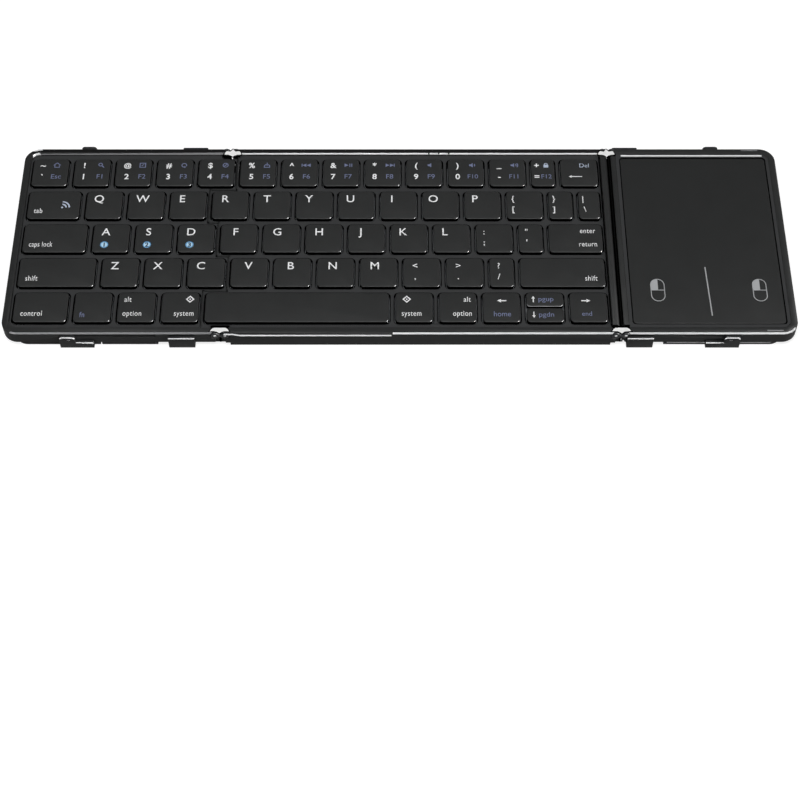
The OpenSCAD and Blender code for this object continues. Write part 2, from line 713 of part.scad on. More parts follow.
// The lip that joins an ear to its plate, from the plate's own edge at reach.
module ear_lip(x0, x1, reach) {
    for (m = [0, 1]) mirror([0, m, 0])
        box(min(x0, x1), -ear_y - ear_t, fabric_t, max(x0, x1), -reach + eps, plate_z);
}

left_slide_in = left_fold_x - spine_l - bridge_w;
right_slide_in = right_fold_x + spine_l;
plate_y = body_d / 2 - plate_inset;
module left_slide_plate() color("#2c2d2f") {
    slab(fabric_t, plate_z) end_rect(free_l + left_margin, -plate_y, left_slide_in - fold_gap, plate_y, plate_r, -1);
    slide_ears(free_l + slide_ear_in, 1);
    ear_lip(free_l + slide_ear_in, free_l + slide_ear_in + slide_ear_l, plate_y);
}
module left_slide_fabric() color("#4b4c50")
    slab(0, fabric_t) end_rect(free_l + left_margin, -plate_y, left_slide_in - fold_gap, plate_y, plate_r, -1);
module right_slide_plate() color("#2c2d2f") {
    slab(fabric_t, plate_z) end_rect(right_slide_in + fold_inset, -plate_y, free_r - right_margin, plate_y, plate_r, 1);
    slide_ears(free_r - slide_ear_in, -1);
    ear_lip(free_r - slide_ear_in, free_r - slide_ear_in - slide_ear_l, plate_y);
}
module right_slide_fabric() color("#4b4c50")
    slab(0, fabric_t) end_rect(right_slide_in + fold_gap, -plate_y, free_r - right_margin, plate_y, plate_r, 1);

module guide_pins(x) color("#c7c9cb") for (m = [0, 1]) mirror([0, m, 0])
    along_y(x, -ear_y - ear_t - 0.1, front_y + slot_depth - 0.2, pin_z, guide_r);
module left_guide_pins() guide_pins(left_guide_x);
module right_guide_pins() guide_pins(right_guide_x);

module left_bridge_plate() color("#2c2d2f")
    box(left_slide_in + fold_gap, -plate_y, fabric_t, left_slide_in + bridge_w - fold_inset, plate_y, plate_z);
module left_bridge_fabric() color("#4b4c50")
    box(left_slide_in + fold_gap, -plate_y, 0, left_slide_in + bridge_w - fold_gap, plate_y, fabric_t);

// A spine: one plate wrapped in the cover's fabric, with an ear at its front and at its back.
module spine(fold_x, side) {
    ear_x = fold_x + side * spine_ear_in;
    ear_end = ear_x + side * spine_ear_l;
    color("#3a3b3e") {
        box(min(fold_x + side * fold_gap, fold_x + side * (spine_l - fold_gap)), -cover_y, 0,
            max(fold_x + side * fold_gap, fold_x + side * (spine_l - fold_gap)), cover_y, plate_z);
        ear_lip(ear_x, ear_end, cover_y);
        for (m = [0, 1]) mirror([0, m, 0])
            box(min(ear_x, ear_end), -ear_y - ear_t, fabric_t, max(ear_x, ear_end), -ear_y, spine_ear_h);
    }
}
module left_spine() spine(left_fold_x, -1);
module right_spine() spine(right_fold_x, 1);

// ---- Right wing ----
pad_x = right_x + pad_in;
pad_y = front_y + pad_front;
pad_top = body_t - 0.25;
pad_ledge = 1.2;
module right_case() {
    color("#303133") difference() {
        slab(wing_lift, body_t) right_plan();
        slab(pad_low, body_t + 1) right_inner();
        slab(wing_lift + floor_t, pad_low + eps) difference() {
            right_inner(ledge_w);
            seam_wall_plan(1);
        }
        seam_cuts(right_x, 1, wing_lift);
        seam_round(right_x, 1, front_y - 1, back_y + 1);
        magnet_pockets(right_magnet_x);
        rim_chamfers(right_x + barrel_r, free_r, 1);
        wing_slots(right_guide_x - right_slide, right_guide_x, 1);
    }
}
pad_low = body_t - 2.4;
module right_deck() {
    color("#333436") difference() {
        slab(pad_low, body_t - 0.1) difference() {
            right_inner(deck_gap);
            round_rect(pad_x - pad_gap, pad_y - pad_gap, pad_x + pad_w + pad_gap, pad_y + pad_d + pad_gap, 1.6);
        }
        seam_cuts(right_x, 1, wing_lift);
    }
}
module touchpad() color("#2e2f30")
    slab(pad_top - pad_t, pad_top) round_rect(pad_x, pad_y, pad_x + pad_w, pad_y + pad_d, 1.3);
// The board under the touchpad stands on the case floor and carries the click switch.
module touchpad_board() color("#1f5c3a") {
    slab(wing_lift + floor_t, wing_lift + floor_t + board_t)
        round_rect(pad_x + 6, pad_y + 8, pad_x + pad_w - 3.5, pad_y + pad_d - 8, 1);
    translate([pad_x + pad_w / 2, pad_y + pad_d / 2, wing_lift + floor_t + board_t])
        cylinder(r = 3, h = pad_top - pad_t - pad_travel - 0.1 - wing_lift - floor_t - board_t);
}
module right_magnets() magnets(right_magnet_x);
module right_hinge_links() hinge_links(right_x);
module right_hinge_pins() hinge_pins(right_x);

middle_case();
middle_deck();
middle_dome_sheet();
middle_board();
battery();
charging_socket();
power_switch();
base_cover();
base_fabric();
board_screws();
left_case();
left_deck();
left_dome_sheet();
left_board();
left_magnets();
left_screws();
left_hinge_links();
left_hinge_pins();
left_slide_plate();
left_slide_fabric();
left_guide_pins();
left_bridge_plate();
left_bridge_fabric();
left_spine();
right_case();
right_deck();
touchpad();
touchpad_board();
right_magnets();
right_hinge_links();
right_hinge_pins();
right_slide_plate();
right_slide_fabric();
right_guide_pins();
right_spine();
keys(0, 0, 4);  // number_keys_left
keys(0, 5, 12);  // number_keys_middle
keys(0, 13, 13);  // backspace_key
keys(1, 0, 0);  // tab_key
keys(1, 1, 3);  // top_letter_keys_left
keys(1, 4, 13);  // top_letter_keys_middle
keys(2, 0, 0);  // caps_lock_key
keys(2, 1, 3);  // home_letter_keys_left
keys(2, 4, 11);  // home_letter_keys_middle
keys(2, 12, 12);  // enter_key
keys(3, 0, 0);  // left_shift_key
keys(3, 1, 3);  // bottom_letter_keys_left
keys(3, 4, 10);  // bottom_letter_keys_middle
keys(3, 11, 11);  // right_shift_key
keys(4, 0, 0);  // control_key
keys(4, 1, 1);  // fn_key
keys(4, 2, 2);  // left_option_key
keys(4, 3, 3);  // left_command_key
keys(4, 4, 4);  // space_bar
keys(4, 5, 5);  // right_command_key
keys(4, 6, 6);  // right_option_key
keys(4, 7, 7);  // left_arrow_key
half_key(true);  // up_arrow_key
half_key(false);  // down_arrow_key
keys(4, 9, 9);  // right_arrow_key
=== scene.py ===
"""Looks of a folding keyboard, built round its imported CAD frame."""

import logging
import math
from dataclasses import dataclass
from enum import Enum

import bmesh
import bpy
from mathutils import Matrix, Vector

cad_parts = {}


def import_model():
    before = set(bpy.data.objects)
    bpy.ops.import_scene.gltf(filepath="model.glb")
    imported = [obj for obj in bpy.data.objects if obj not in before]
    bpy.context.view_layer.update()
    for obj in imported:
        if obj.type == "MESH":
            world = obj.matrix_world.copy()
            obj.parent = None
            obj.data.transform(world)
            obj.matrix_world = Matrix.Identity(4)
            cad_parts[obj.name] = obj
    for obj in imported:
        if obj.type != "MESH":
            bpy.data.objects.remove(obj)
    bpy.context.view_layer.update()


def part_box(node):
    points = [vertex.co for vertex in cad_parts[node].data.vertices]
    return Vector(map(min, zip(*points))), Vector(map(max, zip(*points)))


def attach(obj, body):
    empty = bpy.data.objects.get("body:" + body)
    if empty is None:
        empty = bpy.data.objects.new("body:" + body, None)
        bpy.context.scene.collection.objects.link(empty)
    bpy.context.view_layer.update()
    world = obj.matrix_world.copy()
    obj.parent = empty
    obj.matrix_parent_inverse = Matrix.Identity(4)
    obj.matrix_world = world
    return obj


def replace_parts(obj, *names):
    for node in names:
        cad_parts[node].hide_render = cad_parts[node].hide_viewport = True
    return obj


MM = 0.001
log = logging.getLogger("keyboard")

Point = tuple[float, float, float]
Flat = list[tuple[float, float]]


# ---- colours and shader nodes
def linear(hex_code: str) -> tuple[float, float, float, float]:
    """Turns an sRGB hex colour into linear light.

    Args:
        hex_code: six hex digits with a leading #.

    Returns:
        Red, green, blue and an alpha of 1.
    """
    parts = [int(hex_code[i : i + 2], 16) / 255 for i in (1, 3, 5)]
    return (*[p / 12.92 if p <= 0.04045 else ((p + 0.055) / 1.055) ** 2.4 for p in parts], 1.0)


def add(tree: bpy.types.NodeTree, kind: str, links: dict | None = None, **settings: object) -> bpy.types.Node:
    """Adds one shader node with its settings and incoming links.

    Args:
        tree: the node tree.
        kind: the node's type name without its ShaderNode prefix.
        links: input name or index to an output socket or a plain value.
        settings: attributes of the node.

    Returns:
        The new node.
    """
    node = tree.nodes.new("ShaderNode" + kind)
    for name, value in settings.items():
        setattr(node, name, value)
    for key, value in (links or {}).items():
        if isinstance(value, bpy.types.NodeSocket):
            tree.links.new(value, node.inputs[key])
        else:
            node.inputs[key].default_value = value
    return node


def start_material(
        name: str) -> tuple[bpy.types.Material, bpy.types.NodeTree, bpy.types.Node, bpy.types.NodeSocket]:
    """Starts a material.

    Args:
        name: the material's name.

    Returns:
        The material, its tree, its shader and the object's coordinates.
    """
    material = bpy.data.materials.new(name)
    material.use_nodes = True
    tree = material.node_tree
    return material, tree, tree.nodes["Principled BSDF"], add(tree, "TexCoord").outputs["Object"]


def noise(tree: bpy.types.NodeTree, place: bpy.types.NodeSocket, size_mm: float,
          detail: float) -> bpy.types.NodeSocket:
    """Adds a noise whose spots are about size_mm across and returns its level."""
    return add(tree, "TexNoise", {"Vector": place, "Scale": 1 / (size_mm * MM), "Detail": detail}).outputs["Fac"]


def tint(tree: bpy.types.NodeTree, level: bpy.types.NodeSocket, first: tuple, second: tuple) -> None:
    """Colours the shader between two colours.

    Args:
        tree: the material's tree.
        level: how much of the second colour shows.
        first: the colour at level 0.
        second: the colour at level 1.
    """
    mix = add(tree, "Mix", {"Factor": level}, data_type="RGBA")
    colors = [s for s in mix.inputs if s.type == "RGBA"]
    colors[0].default_value = first
    colors[1].default_value = second
    tree.links.new(mix.outputs[2], tree.nodes["Principled BSDF"].inputs["Base Color"])


def shade(color: tuple, share: float) -> tuple:
    """Returns a colour with its light scaled."""
    return tuple(c * share for c in color[:3]) + (1.0,)


def roughen(tree: bpy.types.NodeTree, level: bpy.types.NodeSocket, low: float, high: float) -> None:
    """Varies the shader's roughness between low and high."""
    rough = add(tree, "MapRange", {"Value": level, "To Min": low, "To Max": high})
    tree.links.new(rough.outputs["Result"], tree.nodes["Principled BSDF"].inputs["Roughness"])


def bump(tree: bpy.types.NodeTree, height: bpy.types.NodeSocket, strength: float, depth_mm: float) -> None:
    """Raises the surface by a height of up to depth_mm."""
    node = add(tree, "Bump", {"Height": height, "Strength": strength, "Distance": depth_mm * MM})
    tree.links.new(node.outputs["Normal"], tree.nodes["Principled BSDF"].inputs["Normal"])


@dataclass(frozen=True)
class Plastic:
    """Moulded ABS: a spark-eroded mould leaves a fine grain, so it has a satin sheen with soft glints.

    The real grain is about 0.05 mm and is drawn at grain_mm so that it shows.
    """

    name: str
    color: str
    roughness: float = 0.42
    grain_mm: float = 0.28
    grain_height: float = 0.12
    mottle: float = 0.08
    specular: float = 0.5
    cloud_mm: float = 9.0
    rough_span: float = 0.05
    grain_depth_mm: float = 0.02

    def make(self) -> bpy.types.Material:
        """Builds the material."""
        material, tree, shader, place = start_material(self.name)
        shader.inputs["IOR"].default_value = 1.53
        shader.inputs["Specular IOR Level"].default_value = self.specular
        cloud = noise(tree, place, self.cloud_mm, 4.0)
        base = linear(self.color)
        tint(tree, cloud, shade(base, 1 - self.mottle), shade(base, 1 + self.mottle))
        roughen(tree, cloud, self.roughness - self.rough_span, self.roughness + self.rough_span)
        bump(tree, noise(tree, place, self.grain_mm, 2.0), self.grain_height, self.grain_depth_mm)
        return material


@dataclass(frozen=True)
class Metal:
    """Turned or stamped steel: fine lines along the cut give it a soft streaked shine."""

    name: str
    color: str
    roughness: float = 0.28
    line_mm: float = 0.15

    def make(self) -> bpy.types.Material:
        """Builds the material."""
        material, tree, shader, place = start_material(self.name)
        shader.inputs["Base Color"].default_value = linear(self.color)
        shader.inputs["Metallic"].default_value = 1.0
        roughen(tree, noise(tree, place, self.line_mm, 3.0), self.roughness - 0.08, self.roughness + 0.1)
        return material


@dataclass(frozen=True)
class Weave:
    """Heathered polyester canvas: dark and pale yarns cross, so it is flecked and matt.

    The real yarn is about 0.35 mm thick and is drawn at yarn_mm.
    """

    name: str
    dark: str
    pale: str
    yarn_mm: float = 0.55
    bands_per_yarn: float = 3.2
    yarn_depth_mm: float = 0.12

    def make(self) -> bpy.types.Material:
        """Builds the material."""
        material, tree, shader, place = start_material(self.name)
        for name, value in (("Roughness", 0.9), ("Sheen Weight", 0.25), ("Specular IOR Level", 0.2)):
            shader.inputs[name].default_value = value
        waves, flecks = [], []
        for axis, stretch in (("X", (1, 0.14, 1)), ("Y", (0.14, 1, 1))):
            wave = {"Vector": place, "Scale": 1 / (self.yarn_mm * MM) / self.bands_per_yarn, "Distortion": 0.6,
                    "Detail": 1.0, "Detail Scale": 2.0}
            waves.append(add(tree, "TexWave", wave, wave_type="BANDS", bands_direction=axis).outputs["Fac"])
            scaled = add(tree, "Mapping", {"Vector": place, "Scale": stretch})
            flecks.append(noise(tree, scaled.outputs[0], self.yarn_mm, 2.0))
        height = add(tree, "Math", dict(enumerate(waves)), operation="MAXIMUM")
        fleck = add(tree, "Math", dict(enumerate(flecks)), operation="MULTIPLY")
        level = add(tree, "MapRange", {"Value": fleck.outputs[0], "From Min": 0.16, "From Max": 0.36})
        tint(tree, level.outputs["Result"], linear(self.dark), linear(self.pale))
        bump(tree, height.outputs[0], 0.5, self.yarn_depth_mm)
        return material


@dataclass(frozen=True)
class Ink:
    """Laser-cut or pad-printed legend: an even, matt film with slightly rough edges."""

    name: str
    color: str
    speck_mm: float = 0.4

    def make(self) -> bpy.types.Material:
        """Builds the material."""
        material, tree, shader, place = start_material(self.name)
        shader.inputs["Roughness"].default_value = 0.55
        base = linear(self.color)
        tint(tree, noise(tree, place, self.speck_mm, 2.0), shade(base, 0.88), base)
        return material


class Finish(Enum):
    """Every finish on the keyboard."""

    CASE = Plastic("moulded_abs_case", "#262727", 0.42, specular=0.25)
    DECK = Plastic("moulded_abs_deck", "#2f3031", 0.5, specular=0.2)
    KEY = Plastic("moulded_abs_key", "#272828", 0.45, grain_height=0.08, specular=0.22)
    # Glossier than the key and lighter in colour: the lighter colour is a painted highlight on each cap's front-right
    # corner.
    EDGE = Plastic("glossy_key_corner_painted_highlight", "#303131", 0.3, grain_height=0.02, mottle=0.03, specular=0.6)
    # Near black with no sheen: painted shade on the key sides, on the walls and chamfers of the key openings and in
    # the pad's groove, and the plain black of the small dark parts.
    FLAT_BLACK_AND_SHADE = Plastic("flat_black_and_painted_shade", "#020202", 0.9, specular=0.0)
    PAD = Plastic("coated_polycarbonate_pad", "#252626", 0.42, grain_mm=0.2, grain_height=0.05, mottle=0.03,
                  specular=0.22)
    PLATE = Plastic("moulded_cover_plate", "#1c1d1e", 0.4, specular=0.35)
    DARK = Plastic("black_nylon", "#131415", 0.5, specular=0.3)
    RUBBER = Plastic("silicone_rubber", "#6d7073", 0.7)
    BOARD = Plastic("solder_mask", "#1e5a38", 0.3, mottle=0.15)
    FOIL = Plastic("battery_foil", "#b9bcc0", 0.3)
    HINGE = Plastic("black_coated_zinc", "#1f2022", 0.32, specular=0.6)
    # Near white on the steel hinge pins: a painted highlight on their ends.
    PIN = Plastic("painted_pin_highlight", "#f4f5f5", 0.4, specular=0.6)
    NYLON = Plastic("white_nylon_pad", "#f0f0ef", 0.5, mottle=0.03)
    NICKEL = Metal("plated_nickel", "#c4c5c8", 0.25)
    FABRIC = Weave("woven_heather_canvas", "#2e2e33", "#77767f")
    THREAD = Weave("sewing_thread", "#3b3b40", "#8d8c94", 0.3)
    WHITE_INK = Ink("white_legend", "#f4f5f6")
    BLUE_INK = Ink("blue_grey_legend", "#6a7396")
    PALE_INK = Ink("pale_blue_legend", "#b4c0d4")
    SKY_INK = Ink("sky_blue_disc", "#b4daf0")
    RING_INK = Ink("blue_ring_print", "#4b92c8")
    DEEP_INK = Ink("deep_blue_figure", "#123450")
    GREY_INK = Ink("grey_pad_print", "#a9abad")
    # Glossy and near white: a painted highlight along rim and ear edges, on the pad's rear rim and on the glints at
    # corners.
    RIM_HIGHLIGHT = Plastic("glossy_rim_painted_highlight", "#f2f3f4", 0.25, grain_height=0.02, mottle=0.03)
    RIM_DARK = Plastic("shaded_rim", "#0b0b0c", 0.6, specular=0.1)
    # Mid grey: a dimmer painted highlight on the left wing's rim lines, the rear half arrow key's front bevel and the
    # marks on the right wing's rims.
    GREY_RIM_HIGHLIGHT = Plastic("satin_rim_painted_grey_highlight", "#8e8f91", 0.3, grain_height=0.02, mottle=0.03)


MATERIALS: dict[Finish, bpy.types.Material] = {}


def finish_of(finish: Finish) -> bpy.types.Material:
    """Returns the one material of a finish, made on first use."""
    if finish not in MATERIALS:
        MATERIALS[finish] = finish.value.make()
    return MATERIALS[finish]


# ---- mesh helpers
def add_piece(name: str, mesh: bmesh.types.BMesh, finishes: list[Finish], body: str,
              smooth: float = 35.0) -> bpy.types.Object:
    """Turns a bmesh into a finished piece that rides on a body.

    Args:
        name: the object's name.
        mesh: the shape, in metres; it is freed.
        finishes: the finish of each material index.
        body: the body that carries it.
        smooth: edges sharper than this many degrees stay crisp.

    Returns:
        The new object.
    """
    data = bpy.data.meshes.new(name)
    mesh.to_mesh(data)
    mesh.free()
    for finish in finishes:
        data.materials.append(finish_of(finish))
    data.polygons.foreach_set("use_smooth", [True] * len(data.polygons))
    data.set_sharp_from_angle(angle=math.radians(smooth))
    piece = bpy.data.objects.new(name, data)
    bpy.context.scene.collection.objects.link(piece)
    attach(piece, body)
    log.info("%s: %d faces on %s", name, len(data.polygons), body)
    return piece


def node_bmesh(node: str) -> bmesh.types.BMesh:
    """Copies a CAD node's mesh, with its doubled points joined and flat areas made whole.

    Args:
        node: the CAD node.

    Returns:
        The copy.
    """
    mesh = bmesh.new()
    mesh.from_mesh(bpy.data.objects[node].data)
    mesh.transform(bpy.data.objects[node].matrix_world)
    bmesh.ops.remove_doubles(mesh, verts=mesh.verts, dist=0.002 * MM)
    bmesh.ops.dissolve_limit(mesh, angle_limit=math.radians(1.0), verts=mesh.verts, edges=mesh.edges,
                             delimit={"NORMAL"})
    return mesh


def soften(mesh: bmesh.types.BMesh, width_mm: float, angle: float = 40.0, low_mm: float = -1.0) -> None:
    """Rounds the crisp edges of a moulded part a little.

    Args:
        mesh: the part.
        width_mm: how far the rounding reaches.
        angle: the least turn of an edge that is rounded, in degrees.
        low_mm: edges lower than this stay crisp.
    """
    chosen = [e for e in mesh.edges if len(e.link_faces) == 2 and e.calc_face_angle(0) > math.radians(angle)
              and min(v.co.z for v in e.verts) > low_mm * MM]
    bmesh.ops.bevel(mesh, geom=chosen, offset=width_mm * MM, offset_type="OFFSET", segments=2, profile=0.5,
                    affect="EDGES", clamp_overlap=True, material=-1)


def bevel(mesh: bmesh.types.BMesh, edges: list[bmesh.types.BMEdge], width_mm: float, material: int) -> None:
    """Cuts a flat chamfer along edges.

    Args:
        mesh: the part.
        edges: the edges.
        width_mm: how far the chamfer reaches on each side.
        material: the material index of the chamfer.
    """
    bmesh.ops.bevel(mesh, geom=edges, offset=width_mm * MM, offset_type="OFFSET", segments=1, profile=0.5,
                    affect="EDGES", clamp_overlap=False, material=material)


def split(mesh: bmesh.types.BMesh, axis: int, at_mm: float) -> None:
    """Cuts the faces of a part along a plane square to an axis; nothing is taken away."""
    place, normal = [0.0, 0.0, 0.0], [0, 0, 0]
    place[axis], normal[axis] = at_mm * MM, 1
    bmesh.ops.bisect_plane(mesh, geom=mesh.verts[:] + mesh.edges[:] + mesh.faces[:], dist=1e-6,
                           plane_co=place, plane_no=normal)


def rounded_outline(x0: float, y0: float, x1: float, y1: float, r: float, steps: int = 6) -> Flat:
    """Returns the points of a rectangle with round corners, anticlockwise, in the units given."""
    points = []
    for cx, cy, start in ((x1 - r, y1 - r, 0), (x0 + r, y1 - r, 90), (x0 + r, y0 + r, 180), (x1 - r, y0 + r, 270)):
        points += arc(cx, cy, r, start, start + 90, steps)
    return points


def loft(mesh: bmesh.types.BMesh, rings: list[list[Point]]) -> None:
    """Joins closed rings of points into a skin with both ends filled.

    Args:
        mesh: receives the skin.
        rings: rings of equal length, in millimetres, from one end to the other.
    """
    rows = [[mesh.verts.new(Vector(p) * MM) for p in ring] for ring in rings]
    for low, high in zip(rows, rows[1:]):
        for i in range(len(low)):
            j = (i + 1) % len(low)
            mesh.faces.new((low[i], low[j], high[j], high[i]))
    mesh.faces.new(list(reversed(rows[0])))
    mesh.faces.new(rows[-1])


def add_faces(mesh: bmesh.types.BMesh, shapes: list[Flat], z: float) -> None:
    """Adds flat shapes at a height, all in millimetres."""
    for shape in shapes:
        mesh.faces.new([mesh.verts.new(Vector((a, b, z)) * MM) for a, b in shape])


def block(mesh: bmesh.types.BMesh, low: Point, high: Point) -> None:
    """Adds a plain block between its lowest and highest corners, in millimetres."""
    corners = ((low[0], low[1]), (high[0], low[1]), (high[0], high[1]), (low[0], high[1]))
    loft(mesh, [[(x, y, z) for x, y in corners] for z in (low[2], high[2])])


def add_block(name: str, body: str, low: Point, high: Point) -> None:
    """Adds one plain dark block as a piece.

    Args:
        name: the piece's name.
        body: the body that carries it.
        low: its lowest corner, in millimetres.
        high: its highest corner, in millimetres.
    """
    mesh = bmesh.new()
    block(mesh, low, high)
    bmesh.ops.recalc_face_normals(mesh, faces=mesh.faces)
    add_piece(name, mesh, [Finish.FLAT_BLACK_AND_SHADE], body)


# ---- keys
@dataclass
class Layout:
    """Where every key stands, in millimetres."""

    keys_left: float = -169.8
    keys_right: float = 92.0
    front_y: float = -52.25
    key_front: float = 6.3
    pitch: float = 19.05
    gap: float = 2.9
    depth: float = 15.75
    half_depth: float = 7.45
    key_top: float = 8.25
    key_low: float = 6.25
    left_keys: tuple[int, ...] = (5, 4, 4, 4, 4)
    units: tuple[tuple[float, ...], ...] = (
        (1.0,) * 12 + (0.71,),
        (1.38,) + (1.0,) * 11 + (0.71,),
        (1.63,) + (1.0,) * 10 + (0.71,),
        (1.92,) + (1.0,) * 9 + (0.71,),
        (1.38, 1.0, 1.0, 1.0, 4.36, 1.0, 1.0, 1.0, 1.0),
    )

    def edge(self, row: int, i: int) -> float:
        """Returns the pitch line left of key i; the last line is the end of the rows."""
        if i > len(self.units[row]):
            return self.keys_right
        return self.keys_left + self.pitch * sum(self.units[row][:i])

    def plan(self, row: int, i: int) -> tuple[float, float, float, float]:
        """Returns the left, front, right and back of a key cap."""
        y0 = self.front_y + self.key_front + (len(self.units) - 1 - row) * (self.pitch - 0.05)
        return self.edge(row, i) + self.gap / 2, y0, self.edge(row, i + 1) - self.gap / 2, y0 + self.depth


class Mark(Enum):
    """Small drawn signs, as strokes and discs in a box of about one unit."""

    HOUSE = "house"
    SEARCH = "search"
    TABS = "tabs"
    TURN = "turn"
    RING = "ring"
    SHARE = "share"
    PREVIOUS = "previous"
    PLAY = "play"
    NEXT = "next"
    MUTE = "mute"
    SOFTER = "softer"
    LOUDER = "louder"
    PADLOCK = "padlock"
    WAVES = "waves"
    DIAMOND = "diamond"
    LEFT = "left"
    RIGHT = "right"
    UP = "up"
    DOWN = "down"
    LONG_LEFT = "long_left"


def stroke(points: Flat, width: float) -> list[Flat]:
    """Returns the quads of a mitred line through the points; a line that ends where it starts is closed."""
    closed = len(points) > 3 and math.dist(points[0], points[-1]) < 1e-6
    path = [Vector(p) for p in points]
    sides = []
    for k, p in enumerate(path):
        before = path[k - 1] if k else path[-2] if closed else None
        after = path[k + 1] if k + 1 < len(path) else path[1] if closed else None
        first = (p - before).normalized() if before else (after - p).normalized()
        second = (after - p).normalized() if after else first
        across = Vector((-first.y - second.y, first.x + second.x)).normalized()
        reach = width / 2 / max(0.5, across.dot(Vector((-first.y, first.x))))
        sides.append((p - across * reach, p + across * reach))
    return [[tuple(a), tuple(b), tuple(d), tuple(c)] for (a, c), (b, d) in zip(sides, sides[1:])]


def arc(cx: float, cy: float, r: float, start: float, end: float, steps: int = 14) -> Flat:
    """Returns points along an arc, angles in degrees."""
    return [(cx + r * math.cos(math.radians(start + (end - start) * i / steps)),
             cy + r * math.sin(math.radians(start + (end - start) * i / steps))) for i in range(steps + 1)]


def triangle(x: float, y: float, reach: float, half: float) -> list[Flat]:
    """Returns an arrow head whose tip is reach to the side of (x, y)."""
    points = [(x + reach, y), (x, y + half), (x, y - half)]
    return [points if reach > 0 else points[::-1]]


def turned(shapes: list[Flat], degrees: float) -> list[Flat]:
    """Turns shapes anticlockwise about their middle."""
    c, s = math.cos(math.radians(degrees)), math.sin(math.radians(degrees))
    return [[(x * c - y * s, x * s + y * c) for x, y in shape] for shape in shapes]


def draw_mark(mark: Mark) -> list[Flat]:
    """Returns a sign's shapes, centred, about one unit high."""
    w = 0.13
    arrow = stroke([(0.5, 0), (-0.15, 0)], 0.14) + triangle(-0.1, 0, -0.45, 0.24)
    speaker = [[(-0.5, -0.16), (-0.28, -0.16), (0.05, -0.42), (0.05, 0.42), (-0.28, 0.16), (-0.5, 0.16)]]
    shapes = {
        Mark.HOUSE: stroke([(-0.52, 0.0), (0, 0.45), (0.52, 0.0)], w)
        + stroke([(-0.34, 0.0), (-0.34, -0.42), (0.34, -0.42), (0.34, 0.0)], w),
        Mark.SEARCH: stroke(arc(-0.1, 0.12, 0.28, 0, 360), w) + stroke([(0.12, -0.1), (0.48, -0.45)], w * 1.2),
        Mark.TABS: stroke([(-0.42, -0.4), (0.42, -0.4), (0.42, 0.4), (-0.42, 0.4), (-0.42, -0.4)], w)
        + stroke([(-0.18, -0.12), (0.18, 0.18)], w),
        Mark.TURN: stroke(arc(0, 0, 0.36, -30, 290), w) + triangle(0.02, -0.36, 0.3, 0.2),
        Mark.RING: stroke(arc(0, 0, 0.38, 0, 360, 20), w) + stroke([(-0.24, -0.24), (0.24, 0.24)], w),
        Mark.SHARE: stroke([(0, 0.5), (0, -0.1)], w)
        + stroke([(-0.4, -0.1), (-0.2, 0.12), (0.2, 0.12), (0.4, -0.1), (0.4, -0.42), (-0.4, -0.42), (-0.4, -0.1)], w),
        Mark.PREVIOUS: stroke([(-0.72, 0.3), (-0.72, -0.3)], w) + triangle(-0.05, 0, -0.6, 0.32)
        + triangle(0.6, 0, -0.6, 0.32),
        Mark.PLAY: triangle(-0.55, 0, 0.6, 0.34) + stroke([(0.26, 0.32), (0.26, -0.32)], w)
        + stroke([(0.56, 0.32), (0.56, -0.32)], w),
        Mark.NEXT: stroke([(0.72, 0.3), (0.72, -0.3)], w) + triangle(0.05, 0, 0.6, 0.32)
        + triangle(-0.6, 0, 0.6, 0.32),
        Mark.MUTE: speaker,
        Mark.SOFTER: speaker + stroke(arc(0.05, 0, 0.3, -45, 45, 6), w),
        Mark.LOUDER: speaker + stroke(arc(0.05, 0, 0.3, -45, 45, 6), w)
        + stroke(arc(0.05, 0, 0.55, -45, 45, 8), w),
        Mark.PADLOCK: [rounded_outline(-0.36, -0.45, 0.36, 0.1, 0.06)]
        + stroke([(-0.22, 0.1)] + arc(0, 0.16, 0.22, 180, 0, 8) + [(0.22, 0.1)], w),
        Mark.WAVES: turned(stroke(arc(0, -0.5, 0.62, 45, 135, 12), 0.24)
                           + stroke(arc(0, -0.5, 1.12, 45, 135, 14), 0.24), -45)
        + [arc(-0.35, -0.35, 0.17, 0, 340, 10)],
        Mark.DIAMOND: stroke([(0, 0.5), (0.5, 0), (0, -0.5), (-0.5, 0), (0, 0.5)], 0.16)
        + [arc(0, 0, 0.12, 0, 340, 10)],
        Mark.LEFT: arrow,
        Mark.RIGHT: turned(arrow, 180),
        Mark.UP: turned(arrow, -90),
        Mark.DOWN: turned(arrow, 90),
        Mark.LONG_LEFT: stroke([(1.05, 0), (-0.75, 0)], 0.15) + triangle(-0.65, 0, -0.5, 0.26),
    }
    return shapes[mark]


@dataclass(frozen=True)
class Legend:
    """One printed sign on a key.

    x is from the key's left edge, or from its right edge when negative; y is from its front edge.
    """

    what: str | Mark
    x: float
    y: float
    size: float
    ink: Finish = Finish.WHITE_INK
    align: str = "CENTER"
    bold: float = 0.02
    wide: float = 1.0
    spread: float = 1.0


LETTER = 4.0
DIGIT = 3.0
WORD = 2.75
UPPER_Y = 12.2
LETTER_Y = 11.6
LOWER_Y = 5.6
PRINT_MM = 0.012
FONT_CAP = 0.70
BLUE = Finish.BLUE_INK
SIGN_X: dict[str, float] = {"W": 6.3, "E": 5.2, "{[": 2.9, "}]": 2.4, "|\\": 2.1, "?/": 4.1, "<,": 5.2, ">.": 5.2}
DRIFT: dict[int, tuple[int, float, float]] = {1: (6, 0.0, -0.25), 2: (4, 0.9, -0.3), 3: (4, 2.0, -0.4)}


